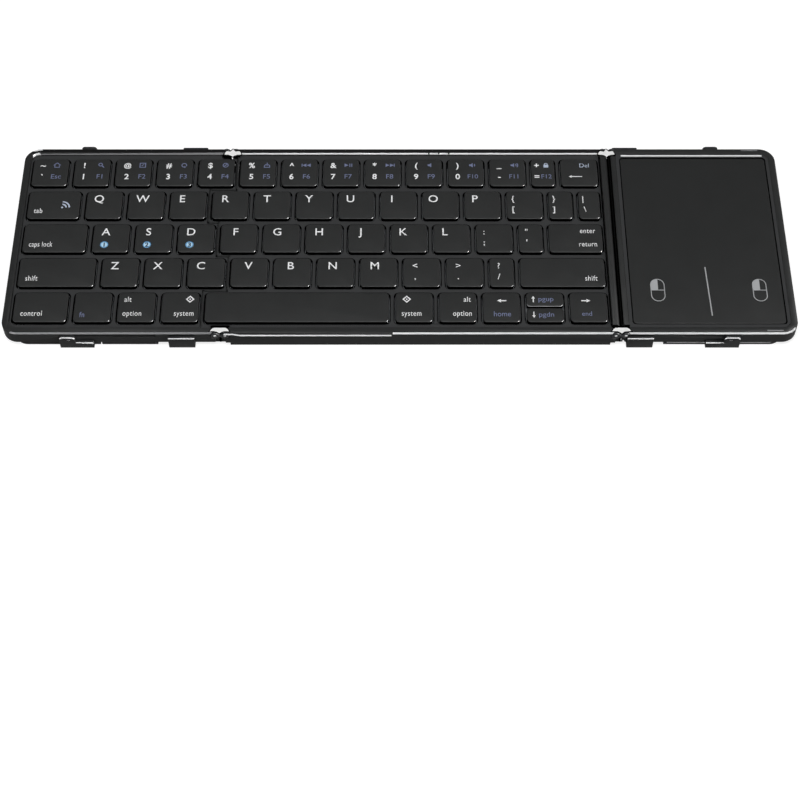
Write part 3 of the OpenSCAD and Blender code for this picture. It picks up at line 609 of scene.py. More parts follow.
def number_legends(i: int) -> list[Legend]:
    """Returns the legends of key i of the rear row."""
    plain = "`1234567890-="
    shifted = "~!@#$%^&*()_+"
    signs = [Mark.HOUSE, Mark.SEARCH, Mark.TABS, Mark.TURN, Mark.RING, Mark.SHARE, Mark.PREVIOUS, Mark.PLAY, Mark.NEXT,
             Mark.MUTE, Mark.SOFTER, Mark.LOUDER, Mark.PADLOCK]
    if i == len(plain):
        return [Legend("Del", -5.8, UPPER_Y, 2.3, Finish.PALE_INK, bold=0.0),
                Legend(Mark.LONG_LEFT, 6.8, LOWER_Y, 2.8)]
    narrow = i == 12
    left, right = 5.1, -4.1
    if narrow:
        left, right = 2.6, -3.7
    elif i < 2:
        left, right = 4.4, -5.4 if i == 0 else -4.2
    elif i > 5:
        left, right = 4.4, -4.9
    name = "F%d" % i if i else "Esc"
    return [
        Legend(shifted[i], left, UPPER_Y, 2.4 if shifted[i] == "@" else DIGIT),
        Legend(plain[i], left, LOWER_Y, DIGIT),
        Legend(signs[i], right, UPPER_Y + 0.1, 3.0, Finish.PALE_INK if narrow else BLUE),
        Legend(name, right, LOWER_Y + 0.1, 2.6 if i < 10 else 2.4, BLUE, bold=0.0),
    ]


def letter_legends(row: int, i: int, text: str) -> list[Legend]:
    """Returns one big letter, or two signs one above the other, for key i of a row.

    Right of the seam the letters drift from their usual place, by a step more on each key.
    """
    first, start, step = DRIFT[row]
    if len(text) == 1:
        drift = start + step * (i - first) if i >= first else 0.0
        return [Legend(text, SIGN_X.get(text, 5.6) + drift, LETTER_Y, LETTER, bold=0.006)]
    x = SIGN_X.get(text, 3.6)
    return [Legend(text[0], x, LETTER_Y, DIGIT, bold=0.005),
            Legend(text[1], x + 0.7 * (text[0] == "|"), LOWER_Y, DIGIT, bold=0.005)]


def word(text: str, x: float, y: float = 4.7, ink: Finish = Finish.WHITE_INK) -> Legend:
    """Returns a small word; a negative x lines its end up from the key's right edge."""
    return Legend(text, x, y, WORD, ink, "RIGHT" if x < 0 else "LEFT", 0.002, 0.74, 1.1)


def legend_table() -> dict[tuple[int, int], list[Legend]]:
    """Returns the legends of every key by row and place."""
    table = {(0, i): number_legends(i) for i in range(14)}
    table[1, 0] = [word("tab", 2.9), Legend(Mark.WAVES, -6.9, 7.5, 2.9, Finish.PALE_INK)]
    table[2, 0] = [Legend("caps lock", 2.7, 4.6, WORD, align="LEFT", bold=0.002, wide=0.66, spread=1.08)]
    table[3, 0] = [word("shift", 3.1)]
    for row, signs in ((1, list("QWERTYUIOP") + ["{[", "}]", "|\\"]), (2, list("ASDFGHJKL") + [":;", "\"'"]),
                       (3, list("ZXCVBNM") + ["<,", ">.", "?/"])):
        for i, text in enumerate(signs):
            table[row, i + 1] = letter_legends(row, i + 1, text)
    for i in (1, 2, 3):
        table[2, i].append(Legend(str(i), 5.3, 4.3, 2.2, Finish.SKY_INK, bold=0.04))
    table[2, 12] = [word("enter", -2.9, UPPER_Y), word("return", -2.3)]
    table[3, 11] = [word("shift", -3.4)]
    table[4, 0] = [word("control", 3.1)]
    table[4, 1] = [word("fn", 2.6, 4.0, BLUE)]
    table[4, 2] = [word("alt", 2.5, UPPER_Y), word("option", 2.2)]
    table[4, 3] = [Legend(Mark.DIAMOND, -3.9, UPPER_Y, 3.1), word("system", -1.8)]
    table[4, 5] = [Legend(Mark.DIAMOND, 4.9, UPPER_Y, 3.1), word("system", 2.6)]
    table[4, 6] = [word("alt", -2.3, UPPER_Y), word("option", -1.8)]
    table[4, 7] = [Legend(Mark.LEFT, 8.4, 11.4, 3.8), Legend("home", 8.4, 4.4, WORD, BLUE, bold=0.0, wide=0.85)]
    table[4, 9] = [Legend(Mark.RIGHT, 6.9, 11.4, 3.8), Legend("end", 7.2, 4.5, 2.4, BLUE, bold=0.0, wide=0.9)]
    return table


class Keys:
    """All key caps and what is printed on them."""

    def __init__(self, layout: Layout) -> None:
        """Keeps the layout and the legends."""
        self.layout = layout
        self.table = legend_table()
        self.edge_mm = 0.35
        self.wall_mm = 0.9

    def cap(self, mesh: bmesh.types.BMesh, plan: tuple[float, float, float, float]) -> None:
        """Adds one hollow cap: a flat top, a softly rounded edge, a skirt and a plunger.

        Args:
            mesh: receives the cap.
            plan: left, front, right and back, in millimetres.
        """
        x0, y0, x1, y1 = plan
        top, low, e, wall = self.layout.key_top, self.layout.key_low, self.edge_mm, self.wall_mm
        rings = []
        inside = [(wall, top - wall), (wall, low), (wall - 0.15, low)]
        outside = [(0.1, low), (0.0, low + 0.1), (0.0, top - e)]
        outside += [(e * (1 - math.cos(math.radians(a))), top - e * (1 - math.sin(math.radians(a)))) for a in
                    (22, 45, 68, 90)]
        for inset, z in inside + outside:
            r = max(1.7 - inset, 0.5)
            outline = rounded_outline(x0 + inset, y0 + inset, x1 - inset, y1 - inset, r)
            rings.append([(x, y, z) for x, y in outline])
        loft(mesh, rings)
        stem = [[(x + (x0 + x1) / 2, y + (y0 + y1) / 2, z) for x, y in rounded_outline(-1.1, -1.1, 1.1, 1.1, 1.09)]
                for z in (5.85, top - wall - 0.01)]
        loft(mesh, stem)

    def ink(self, spots: list[tuple[Legend, float, float]], node: str, ink: Finish, z: float) -> None:
        """Makes one piece of all the legends of one colour on one key node.

        Args:
            spots: each legend with its place, in millimetres.
            node: the key node they are on.
            ink: the colour.
            z: the height of the print, in millimetres.
        """
        mesh = bmesh.new()
        for legend, x, y in spots:
            if isinstance(legend.what, Mark):
                size = legend.size
                add_faces(mesh, [[(x + a * size, y + b * size) for a, b in s] for s in draw_mark(legend.what)], z)
            else:
                add_text(mesh, legend, x, y, z)
        for face in mesh.faces:
            if face.normal.z < 0:
                face.normal_flip()
        add_piece(ink.value.name + "_" + node, mesh, [ink], node)

    def dress(self, node: str, places: list[tuple[int, int]], halves: int = 0) -> None:
        """Replaces one key node with its caps and prints their legends.

        Args:
            node: the CAD node, which has its body's name.
            places: row and place of each key.
            halves: 1 for the rear half key, -1 for the front one.
        """
        mesh = bmesh.new()
        spots = []
        for row, i in places:
            x0, y0, x1, y1 = self.layout.plan(row, i)
            if halves:
                y0, y1 = (y1 - self.layout.half_depth, y1) if halves > 0 else (y0, y0 + self.layout.half_depth)
                sign, text = (Mark.UP, "pgup") if halves > 0 else (Mark.DOWN, "pgdn")
                legends = [Legend(sign, 3.1, 3.9, 3.2), Legend(text, 8.6, 4.1, 2.5, BLUE, bold=0.0)]
            else:
                legends = self.table.get((row, i), [])
            self.cap(mesh, (x0, y0, x1, y1))
            for legend in legends:
                spots.append((legend, legend.x + (x0 if legend.x > 0 else x1), y0 + legend.y))
        bmesh.ops.recalc_face_normals(mesh, faces=mesh.faces)
        for face in mesh.faces:
            # Side walls get painted shade for the dark gaps between keys; the front-right corner of the rounded edge
            # gets a painted highlight; on the rear half arrow key the front bevel gets a grey painted highlight.
            corner = face.normal.x > 0.15 and face.normal.y < -0.15
            face.material_index = 1 if face.normal.z < 0.45 else 2 if face.normal.z < 0.97 and corner else 0
            if halves > 0 and face.normal.y < -0.3 and face.normal.z > 0.45:
                face.material_index = 3
        finishes = [Finish.KEY, Finish.FLAT_BLACK_AND_SHADE, Finish.EDGE, Finish.GREY_RIM_HIGHLIGHT]
        piece = add_piece("caps_" + node, mesh, finishes, node, 50)
        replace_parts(piece, node)
        for ink in (Finish.WHITE_INK, Finish.BLUE_INK, Finish.PALE_INK):
            chosen = [spot for spot in spots if spot[0].ink == ink]
            if chosen:
                self.ink(chosen, node, ink, self.layout.key_top + PRINT_MM)
        rings = [spot for spot in spots if spot[0].ink == Finish.SKY_INK]
        if rings:
            self.rings(rings, node)

    def rings(self, spots: list[tuple[Legend, float, float]], node: str) -> None:
        """Prints numbered round buttons: a pale disc, a blue ring and a blue figure.

        Args:
            spots: each figure with its place, in millimetres.
            node: the key node they are on.
        """
        z = self.layout.key_top
        disc, ring, figures = bmesh.new(), bmesh.new(), bmesh.new()
        for legend, x, y in spots:
            add_faces(disc, [arc(x, y, 1.8, 0, 350, 28)], z + PRINT_MM)
            add_faces(ring, stroke(arc(x, y, 1.58, 0, 360, 28), 0.4), z + 0.02)
            add_text(figures, legend, x, y, z + 0.028)
        for name, part, finish in (("discs_", disc, Finish.SKY_INK), ("disc_rings_", ring, Finish.RING_INK),
                                   ("figures_", figures, Finish.DEEP_INK)):
            add_piece(name + node, part, [finish], node)

    def build(self) -> None:
        """Dresses every key node."""
        rows = (("number_keys", 0, 13), ("top_letter_keys", 1, 14), ("home_letter_keys", 1, 12),
                ("bottom_letter_keys", 1, 11))
        for row, (name, start, end) in enumerate(rows):
            seam = self.layout.left_keys[row]
            self.dress(name + "_left", [(row, i) for i in range(start, seam)])
            self.dress(name + "_middle", [(row, i) for i in range(seam, end)])
        singles = {"backspace_key": (0, 13), "tab_key": (1, 0), "caps_lock_key": (2, 0), "left_shift_key": (3, 0),
                   "enter_key": (2, 12), "right_shift_key": (3, 11), "control_key": (4, 0), "fn_key": (4, 1),
                   "left_option_key": (4, 2), "left_command_key": (4, 3), "space_bar": (4, 4),
                   "right_command_key": (4, 5), "right_option_key": (4, 6), "left_arrow_key": (4, 7),
                   "right_arrow_key": (4, 9)}
        for node, place in singles.items():
            self.dress(node, [place])
        self.dress("up_arrow_key", [(4, 8)], 1)
        self.dress("down_arrow_key", [(4, 8)], -1)


def add_text(mesh: bmesh.types.BMesh, legend: Legend, x: float, y: float, z: float) -> None:
    """Adds a word as flat faces, its middle height at y.

    Args:
        mesh: receives the faces.
        legend: the word, its cap height, boldness and alignment.
        x: its middle or end, in millimetres.
        y: its middle height, in millimetres.
        z: its height above the table, in millimetres.
    """
    curve = bpy.data.curves.new("word", "FONT")
    curve.body = legend.what
    curve.align_x = legend.align
    curve.align_y = "BOTTOM_BASELINE"
    curve.resolution_u = 4
    curve.offset = legend.bold
    curve.space_character = legend.spread
    letters = bpy.data.objects.new("word", curve)
    data = bpy.data.meshes.new_from_object(letters)
    scale = legend.size / FONT_CAP * MM
    data.transform(Matrix.Translation(Vector((x, y - legend.size * 0.5, z)) * MM) @ Matrix.Scale(scale, 4)
                   @ Matrix.Diagonal((legend.wide, 1, 1, 1)))
    mesh.from_mesh(data)
    bpy.data.meshes.remove(data)
    bpy.data.objects.remove(letters)
    bpy.data.curves.remove(curve)


# ---- panels
@dataclass
class Shell:
    """One moulded panel: its case and its deck, with softened edges and rim lines painted bright as highlights."""

    body: str
    case: str
    deck: str
    front_mm: float = -52.25
    back_mm: float = 52.25
    rim_mm: float = 3.3
    top_mm: float = 8.5
    soft_mm: float = 0.14
    line_mm: float = 0.5
    line: Finish = Finish.RIM_HIGHLIGHT
    rear_line: bool = True
    free_x: float = -172.9
    rim_side_mm: float = 3.0
    corner_mm: float = 0.8
    well_mm: float = 0.35
    key_wells: bool = True
    low_line: tuple[float, float] | None = None

    def build(self) -> None:
        """Replaces the case and deck nodes with softened copies."""
        mesh = node_bmesh(self.case)
        # The front chamfer gets the painted highlight colour.
        for face in mesh.faces:
            if self.on_chamfer(face):
                face.material_index = 1
        # Along low_line the chamfer keeps the case colour; the painted highlight there is drawn lower on the front
        # face by Seams.rim_details.
        if self.low_line:
            for x in self.low_line:
                split(mesh, 0, x)
            start, end = self.low_line
            for face in mesh.faces:
                if self.on_chamfer(face) and start < face.calc_center_median().x / MM < end:
                    face.material_index = 0
        if self.rear_line:
            self.brighten_rear_edge(mesh)
            self.shade_rear_rim(mesh)
        soften(mesh, self.soft_mm, 50, 4.0)
        for face in mesh.faces:
            if face.normal.z < -0.9 and face.material_index == 0:
                face.material_index = 4
        finishes = [Finish.CASE, self.line, Finish.RIM_HIGHLIGHT, Finish.RIM_DARK, Finish.PLATE]
        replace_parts(add_piece("soft_" + self.case, mesh, finishes, self.body), self.case)
        mesh = node_bmesh(self.deck)
        for face in mesh.faces:
            # Walls of the key openings get near black, painted shade.
            face.material_index = int(face.normal.z < 0.3)
        if self.key_wells:
            self.chamfer_openings(mesh)
        piece = add_piece("soft_" + self.deck, mesh, [Finish.DECK, Finish.FLAT_BLACK_AND_SHADE], self.body)
        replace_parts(piece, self.deck)

    def shade_rear_rim(self, mesh: bmesh.types.BMesh) -> None:
        """Makes the rim behind the highlight line near black, as painted shade."""
        y = self.back_mm - self.rim_mm + self.line_mm + 0.05
        split(mesh, 1, y)
        for face in mesh.faces:
            if face.calc_center_median().y > y * MM and face.normal.z > 0.3 and face.material_index == 0:
                face.material_index = 3

    def chamfer_openings(self, mesh: bmesh.types.BMesh) -> None:
        """Cuts a chamfer round each key opening of a deck, in near black as painted shade."""
        low = min(v.co.y for v in mesh.verts) / MM + 0.3
        chosen = []
        for edge in mesh.edges:
            tops = [f for f in edge.link_faces if f.normal.z > 0.9]
            inside = all(abs(v.co.y) / MM < -low for v in edge.verts)
            if len(tops) == 1 and len(edge.link_faces) == 2 and inside and self.faces_key(edge, tops[0]):
                chosen.append(edge)
        bevel(mesh, chosen, self.well_mm, 1)

    def faces_key(self, edge: bmesh.types.BMEdge, top: bmesh.types.BMFace) -> bool:
        """Tells whether an edge of the deck's top bounds a key opening, not the deck's own outline."""
        middle = (edge.verts[0].co + edge.verts[1].co) / 2
        wall = next(f for f in edge.link_faces if f != top)
        spot = (middle + Vector((wall.normal.x, wall.normal.y, 0)).normalized() * 1.5 * MM) / MM
        layout = Layout()
        plans = [layout.plan(row, i) for row, units in enumerate(layout.units) for i in range(len(units) + 1)]
        return any(x0 < spot.x < x1 and y0 < spot.y < y1 for x0, y0, x1, y1 in plans)

    def on_chamfer(self, face: bmesh.types.BMFace) -> bool:
        """Tells whether a face belongs to the chamfer along the front edge, which carries the painted highlight."""
        y, z = face.calc_center_median().y / MM, face.calc_center_median().z / MM
        near = z > self.top_mm - 0.75 and y < self.front_mm + self.corner_mm
        return near and face.normal.y < -0.3 and face.normal.z > 0.3

    def brighten_rear_edge(self, mesh: bmesh.types.BMesh) -> None:
        """Bevels the inner edge of the rear rim into a line in the panel's painted highlight colour, and the short
        edges near the rear corner of the free end into a white painted highlight.
        """
        inner = self.back_mm - self.rim_mm
        chosen = []
        for edge in mesh.edges:
            a, b = (v.co / MM for v in edge.verts)
            inside = all(abs(p.y - inner) < 0.05 and abs(p.z - self.top_mm) < 0.05 for p in (a, b))
            if inside and abs(a.x - b.x) > 2:
                chosen.append(edge)
        bevel(mesh, chosen, self.line_mm, 1)
        inner_x = self.free_x + self.rim_side_mm
        corner = [e for e in mesh.edges if all(abs(v.co.z / MM - self.top_mm) < 0.05 and v.co.y / MM > inner - 2.2
                  and inner_x + 0.2 < v.co.x / MM < inner_x + 4.3 for v in e.verts) and e.calc_face_angle(0) > 0.5
                  and abs(e.verts[0].co.x - e.verts[1].co.x) < 1.5 * MM]
        bevel(mesh, corner, self.line_mm, 2)


def print_shapes(name: str, body: str, ink: Finish, shapes: list[Flat], z: float) -> None:
    """Prints flat shapes that face up.

    Args:
        name: the piece's name.
        body: the body that carries it.
        ink: its finish.
        shapes: outlines, in millimetres.
        z: the height of the print, in millimetres.
    """
    mesh = bmesh.new()
    add_faces(mesh, shapes, z)
    for face in mesh.faces:
        face.normal_update()
        if face.normal.z < 0:
            face.normal_flip()
    add_piece(name, mesh, [ink], body)


def paint(nodes: dict[Finish, tuple[str, ...]]) -> None:
    """Gives CAD nodes that keep their own shape a procedural finish.

    Args:
        nodes: the nodes that each finish goes on.
    """
    for finish, names in nodes.items():
        for name in names:
            data = bpy.data.objects[name].data
            data.materials.clear()
            data.materials.append(finish_of(finish))


def round_copy(node: str, body: str, finish: Finish, width_mm: float) -> None:
    """Replaces a CAD node with a copy whose edges are rounded.

    Args:
        node: the CAD node.
        body: the body that carries it.
        finish: its finish.
        width_mm: how far the rounding reaches.
    """
    mesh = node_bmesh(node)
    soften(mesh, width_mm, 40)
    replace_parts(add_piece("soft_" + node, mesh, [finish], body), node)


@dataclass
class Touchpad:
    """The pad with its printed pictograms, a black line painted as shade in the groove round it, and highlights
    painted on its rims.
    """

    left: float = 101.4
    right: float = 168.0
    front: float = -46.95
    back: float = 46.25
    top: float = 8.25
    sign_x: tuple[float, float] = (113.3, 158.1)
    sign_y: float = -28.8
    line_x: float = 135.1
    line_y: tuple[float, float] = (-42.6, -16.2)
    line_lean: float = 0.9
    sign_line_mm: float = 0.36
    rear_line_z: float = 8.415
    rim_z: float = 8.507
    sign_r: float = 2.95
    sign_half: float = 2.95

    def build(self) -> None:
        """Softens the pad and prints its pictograms, its dividing line, a painted shade for its groove and the painted
        highlight lines on the rims.
        """
        round_copy("touchpad", "touchpad", Finish.PAD, 0.3)
        left, right, front, back = self.left, self.right, self.front, self.back
        front_end, rear_end = self.line_y
        shapes = stroke([(self.line_x + self.line_lean, front_end), (self.line_x, rear_end)], 0.5)
        quarters = []
        y, half, r = self.sign_y, self.sign_half, self.sign_r - 0.2
        for x in self.sign_x:
            shapes += self.pictogram(x, y)
            quarters.append([(x - 0.15, y), (x - 0.15, y + half + r)] + arc(x, y + half, r, 95, 180, 8) + [(x - r, y)])
        print_shapes("pad_signs", "touchpad", Finish.GREY_INK, shapes, self.top + PRINT_MM)
        print_shapes("pad_sign_quarters", "touchpad", Finish.GREY_INK, quarters, self.top + 0.01)
        # The line along the pad's rear rim is a white painted highlight.
        print_shapes("pad_rear_line", "right_wing", Finish.RIM_HIGHLIGHT,
                     stroke([(left + 0.6, back + 1.6), (right - 1.0, back + 1.6)], 0.8), self.rear_line_z)
        # Grey painted highlights on the front and rear rims.
        marks = stroke([(159.0, -50.6), (166.0, -50.6)], 0.5) + stroke([(157.7, 50.9), (165.3, 50.9)], 0.4)
        print_shapes("rim_marks", "right_wing", Finish.GREY_RIM_HIGHLIGHT, marks, self.rim_z)
        # A black line round the pad: painted shade in the groove.
        groove = [(left - 0.2, back + 0.2), *arc(left + 1.8, front + 1.8, 2.0, 180, 270, 6),
                  *arc(right - 1.8, front + 1.8, 2.0, 270, 360, 6), (right + 0.2, back + 0.2)]
        print_shapes("pad_groove_painted_shade", "right_wing", Finish.FLAT_BLACK_AND_SHADE, stroke(groove, 0.62), self.top + 0.02)

    def pictogram(self, x: float, y: float) -> list[Flat]:
        """Returns the outline and inner lines of a mouse seen from above."""
        r, half, width = self.sign_r, self.sign_half, self.sign_line_mm
        outline = arc(x, y + half, r, 0, 180, 16) + arc(x, y - half, r, 180, 360, 16)
        outline.append(outline[0])
        return (stroke(outline, width) + stroke([(x - r, y), (x + r, y)], width)
                + stroke([(x, y), (x, y + half + r)], width))


# ---- seams and hinges
@dataclass(frozen=True)
class Hinge:
    """Where one hinge's links, pads and stops stand, in millimetres."""

    name: str
    link_x: float
    front_pad_x: float
    rear_pad_x: float
    stop_right: float
    bodies: tuple[str, str]


@dataclass
class Seams:
    """The ledge, the right seam's strips, the rim details and the hinge pads with their bases and stops."""

    layout: Layout
    gap_mm: float = 0.8
    ledge_mm: float = 7.7
    front_mm: float = -52.25
    strip_x: tuple[float, float] = (95.05, 96.75)
    line_x: tuple[float, float] = (91.6, 92.1)
    strip_tops: tuple[float, float] = (6.6, 8.0)
    strip_mm: float = 0.4
    strip_half_mm: float = 47.4
    shade_x: float = 96.75
    pad_mm: float = 8.504
    pad_rim_mm: float = 0.9
    front_pad: tuple[tuple[float, float], ...] = (
        (0.0, -49.2), (2.5, -49.2), (3.4, -49.8), (4.1, -51.0), (1.95, -51.0), (1.0, -51.4), (0.0, -52.1))
    rear_pad: tuple[tuple[float, float], ...] = (
        (0.0, 52.0), (0.4, 51.2), (1.2, 50.3), (2.9, 50.6), (3.65, 49.6), (3.8, 48.5), (1.95, 48.4), (1.0, 48.0),
        (0.0, 47.2))
    base_half: float = 4.1
    base_z: tuple[float, float] = (7.5, 7.9)
    base_y: tuple[float, float] = (47.6, 50.0)
    stop_half: float = 0.36
    stop_top: float = 8.3
    hinges: tuple[Hinge, ...] = (Hinge("left", -77.9, -78.0, -77.1, 0.36, ("left_wing", "middle")),
                                 Hinge("right", 95.9, 96.0, 95.4, 0.1, ("middle", "right_wing")))
    switch_marks: tuple[float, float, float] = (13.4, 18.0, 22.6)
    low_line: tuple[tuple[float, float], ...] = ((-76.1, 8.1), (-72.3, 8.1), (-69.1, 7.3), (-3.6, 7.3))
    low_line_half: float = 0.22

    def build(self) -> None:
        """Builds all of them."""
        self.ledge()
        y = self.strip_half_mm
        for name, (x0, x1), top in (("right_seam_strip", self.strip_x, self.strip_tops[0]),
                                    ("right_seam_line", self.line_x, self.strip_tops[1])):
            add_block(name, "middle", (x0, -y, top - self.strip_mm), (x1, y, top))
        shade_line = stroke([(self.shade_x, -y), (self.shade_x, y)], 0.8)
        print_shapes("right_seam_shade", "right_wing", Finish.FLAT_BLACK_AND_SHADE, shade_line, self.pad_mm)
        self.rim_details()
        for hinge in self.hinges:
            self.pads(hinge)
            self.blocks(hinge)

    def ledge(self) -> None:
        """Adds the ledge that shows in the gap of the stepped seam."""
        mesh = bmesh.new()
        path = self.path()
        g = self.gap_mm / 2 - 0.02
        for (xa, ya), (xb, yb) in zip(path, path[1:]):
            block(mesh, (min(xa, xb) - g / 4, min(ya, yb) - g, self.ledge_mm - 0.6),
                  (max(xa, xb) + g, max(ya, yb) + g, self.ledge_mm))
        add_piece("seam_ledge", mesh, [Finish.CASE], "middle")

    def pads(self, hinge: Hinge) -> None:
        """Adds a hinge's white nylon pads, half on each of its panels, with their dark rims."""
        for side, body in zip((-1, 1), hinge.bodies):
            pads = [[(hinge.front_pad_x + side * a, b) for a, b in self.front_pad],
                    [(hinge.rear_pad_x + side * a, b) for a, b in self.rear_pad]]
            rims = [quad for pad in pads for quad in stroke(pad, self.pad_rim_mm)]
            start = hinge.name + "_hinge_pad"
            print_shapes(start + "s_" + body, body, Finish.NYLON, pads, self.pad_mm)
            print_shapes(start + "_rims_" + body, body, Finish.FLAT_BLACK_AND_SHADE, rims, self.pad_mm - 0.002)

    def blocks(self, hinge: Hinge) -> None:
        """Adds the dark bases on a hinge's links and the stops beside them on the middle panel."""
        link = hinge.name + "_link"
        x0, x1 = hinge.link_x - self.base_half, hinge.link_x + self.base_half
        (low, high), (near, far) = self.base_z, self.base_y
        stop0, stop1 = hinge.link_x - self.stop_half, hinge.link_x + hinge.stop_right
        for name, body, start, end in (
                ("front_base", link, (x0, -far, low), (x1, -near, high)),
                ("rear_base", link, (x0, near, low), (x1, far, high)),
                ("front_stop", "middle", (stop0, -51.8, 1.6), (stop1, -50.4, self.stop_top)),
                ("rear_stop", "middle", (stop0, 46.6, 6.0), (stop1, 47.6, self.stop_top))):
            add_block(hinge.name + "_hinge_" + name, body, start, end)

    def rim_details(self) -> None:
        """Adds the lower part of the middle's front line, a painted highlight on the front face, and the marks of the
        switch window.
        """
        mesh = bmesh.new()
        top = [(x, z + self.low_line_half) for x, z in self.low_line]
        low = [(x, z - self.low_line_half) for x, z in self.low_line]
        for a, b, c, d in zip(low, low[1:], top[1:], top):
            verts = [mesh.verts.new(Vector((x, self.front_mm - 0.02 - 0.4 * (k < 2), z)) * MM)
                     for k, (x, z) in enumerate((a, b, c, d))]
            mesh.faces.new(verts)
        bmesh.ops.recalc_face_normals(mesh, faces=mesh.faces)
        for face in mesh.faces:
            face.normal_update()
            if face.normal.y > 0:
                face.normal_flip()
        add_piece("front_low_line", mesh, [Finish.RIM_HIGHLIGHT], "middle")
        marks = [quad for x in self.switch_marks for quad in stroke([(x - 0.35, 49.1), (x + 0.35, 49.1)], 0.8)]
        print_shapes("switch_window_marks", "middle", Finish.RIM_DARK, marks, 8.5)

    def path(self) -> Flat:
        """Returns the corners of the stepped seam from front to back, in millimetres."""
        points = []
        for row in range(len(self.layout.units) - 1, -1, -1):
            x = self.layout.edge(row, self.layout.left_keys[row])
            front = self.layout.plan(row, 0)[1] - (self.layout.pitch - 0.05 - self.layout.depth) / 2
            points += [(x, -48.8 if row == len(self.layout.units) - 1 else front)]
            points += [(x, 47.4 if row == 0 else front + self.layout.pitch - 0.05)]
        return points


# ---- cover
@dataclass
class Cover:
    """The folding cover: stiff plates under a heathered canvas with pressed folds and sewn edges."""

    stitch_mm: float = 2.6
    hem_mm: float = 1.6
    fold_z: float = 1.7
    fold_y: float = 51.0
    ear_mm: float = 53.9
    plate_mm: float = 51.9
    polish_mm: float = 0.4

    def build(self) -> None:
        """Dresses the cover's plates and canvas."""
        for node, body in (("base_fabric", "middle"), ("left_bridge_fabric", "left_bridge"),
                           ("left_slide_fabric", "left_slide"), ("right_slide_fabric", "right_slide")):
            self.canvas(node, body)
        for node, body in (("left_slide_plate", "left_slide"), ("right_slide_plate", "right_slide"),
                           ("left_spine", "left_spine"), ("right_spine", "right_spine")):
            mesh = node_bmesh(node)
            self.polish(mesh, node == "right_slide_plate", node == "right_spine")
            soften(mesh, 0.2, 40)
            # Index 2 is the painted highlight on the ears' edges.
            finishes = [Finish.PLATE, Finish.FABRIC, Finish.RIM_HIGHLIGHT]
            if "spine" in node:
                for face in mesh.faces:
                    middle = face.calc_center_median() / MM
                    if middle.z < self.fold_z and abs(middle.y) < self.fold_y:
                        face.material_index = 1
            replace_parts(add_piece("soft_" + node, mesh, finishes, body), node)

    def polish(self, mesh: bmesh.types.BMesh, plate: bool, rear: bool) -> None:
        """Bevels the ears' top edge into a glossy line in the painted highlight colour.

        Args:
            mesh: a spine or a slide plate.
            plate: whether the plate's own front edge gets the painted highlight too.
            rear: whether the rear ear's inner edge gets the painted highlight too.
        """
        chosen = []
        for edge in mesh.edges:
            a, b = (v.co / MM for v in edge.verts)
            ear = max(a.y, b.y) < -self.ear_mm and max(a.z, b.z) > 2.0 and len(edge.link_faces) == 2
            flat = plate and max(a.y, b.y) < -self.plate_mm and min(a.z, b.z) > 1.5 and max(a.z, b.z) < 1.7
            ear = ear or rear and min(a.y, b.y) > 52.3 and max(a.y, b.y) < 53.2 and min(a.z, b.z) > 2.0
            if (ear and any(f.normal.z > 0.5 for f in edge.link_faces)) or flat and abs(a.x - b.x) > 3:
                if edge.calc_face_angle(0) > 0.5:
                    chosen.append(edge)
        bevel(mesh, chosen, self.polish_mm, 2)

    def canvas(self, node: str, body: str) -> None:
        """Adds one panel of canvas with a sewn line inside its edges.

        Args:
            node: the CAD node of the panel.
            body: the body that carries it.
        """
        mesh = node_bmesh(node)
        soften(mesh, 0.15, 40)
        piece = add_piece("canvas_" + node, mesh, [Finish.FABRIC], body)
        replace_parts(piece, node)
        low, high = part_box(node)
        x0, x1 = low[0] / MM + self.hem_mm, high[0] / MM - self.hem_mm
        y0, y1 = low[1] / MM + self.hem_mm, high[1] / MM - self.hem_mm
        stitches = bmesh.new()
        for y in (y0, y1):
            count = int((x1 - x0) / self.stitch_mm)
            for i in range(count):
                x = x0 + (x1 - x0) * (i + 0.15) / count
                self.stitch(stitches, x, y, 0.7 * (x1 - x0) / count)
        add_piece("stitches_" + node, stitches, [Finish.THREAD], body)

    def stitch(self, mesh: bmesh.types.BMesh, x: float, y: float, length: float) -> None:
        """Adds one stitch that lies along X on the canvas's underside."""
        rings = []
        for part, half in ((0.0, 0.05), (0.15, 0.13), (0.85, 0.13), (1.0, 0.05)):
            rings.append([(x + length * part, y + half * math.cos(a), 0.14 + half * 0.7 * math.sin(a))
                          for a in (math.radians(60 * k) for k in range(6))])
        loft(mesh, rings)


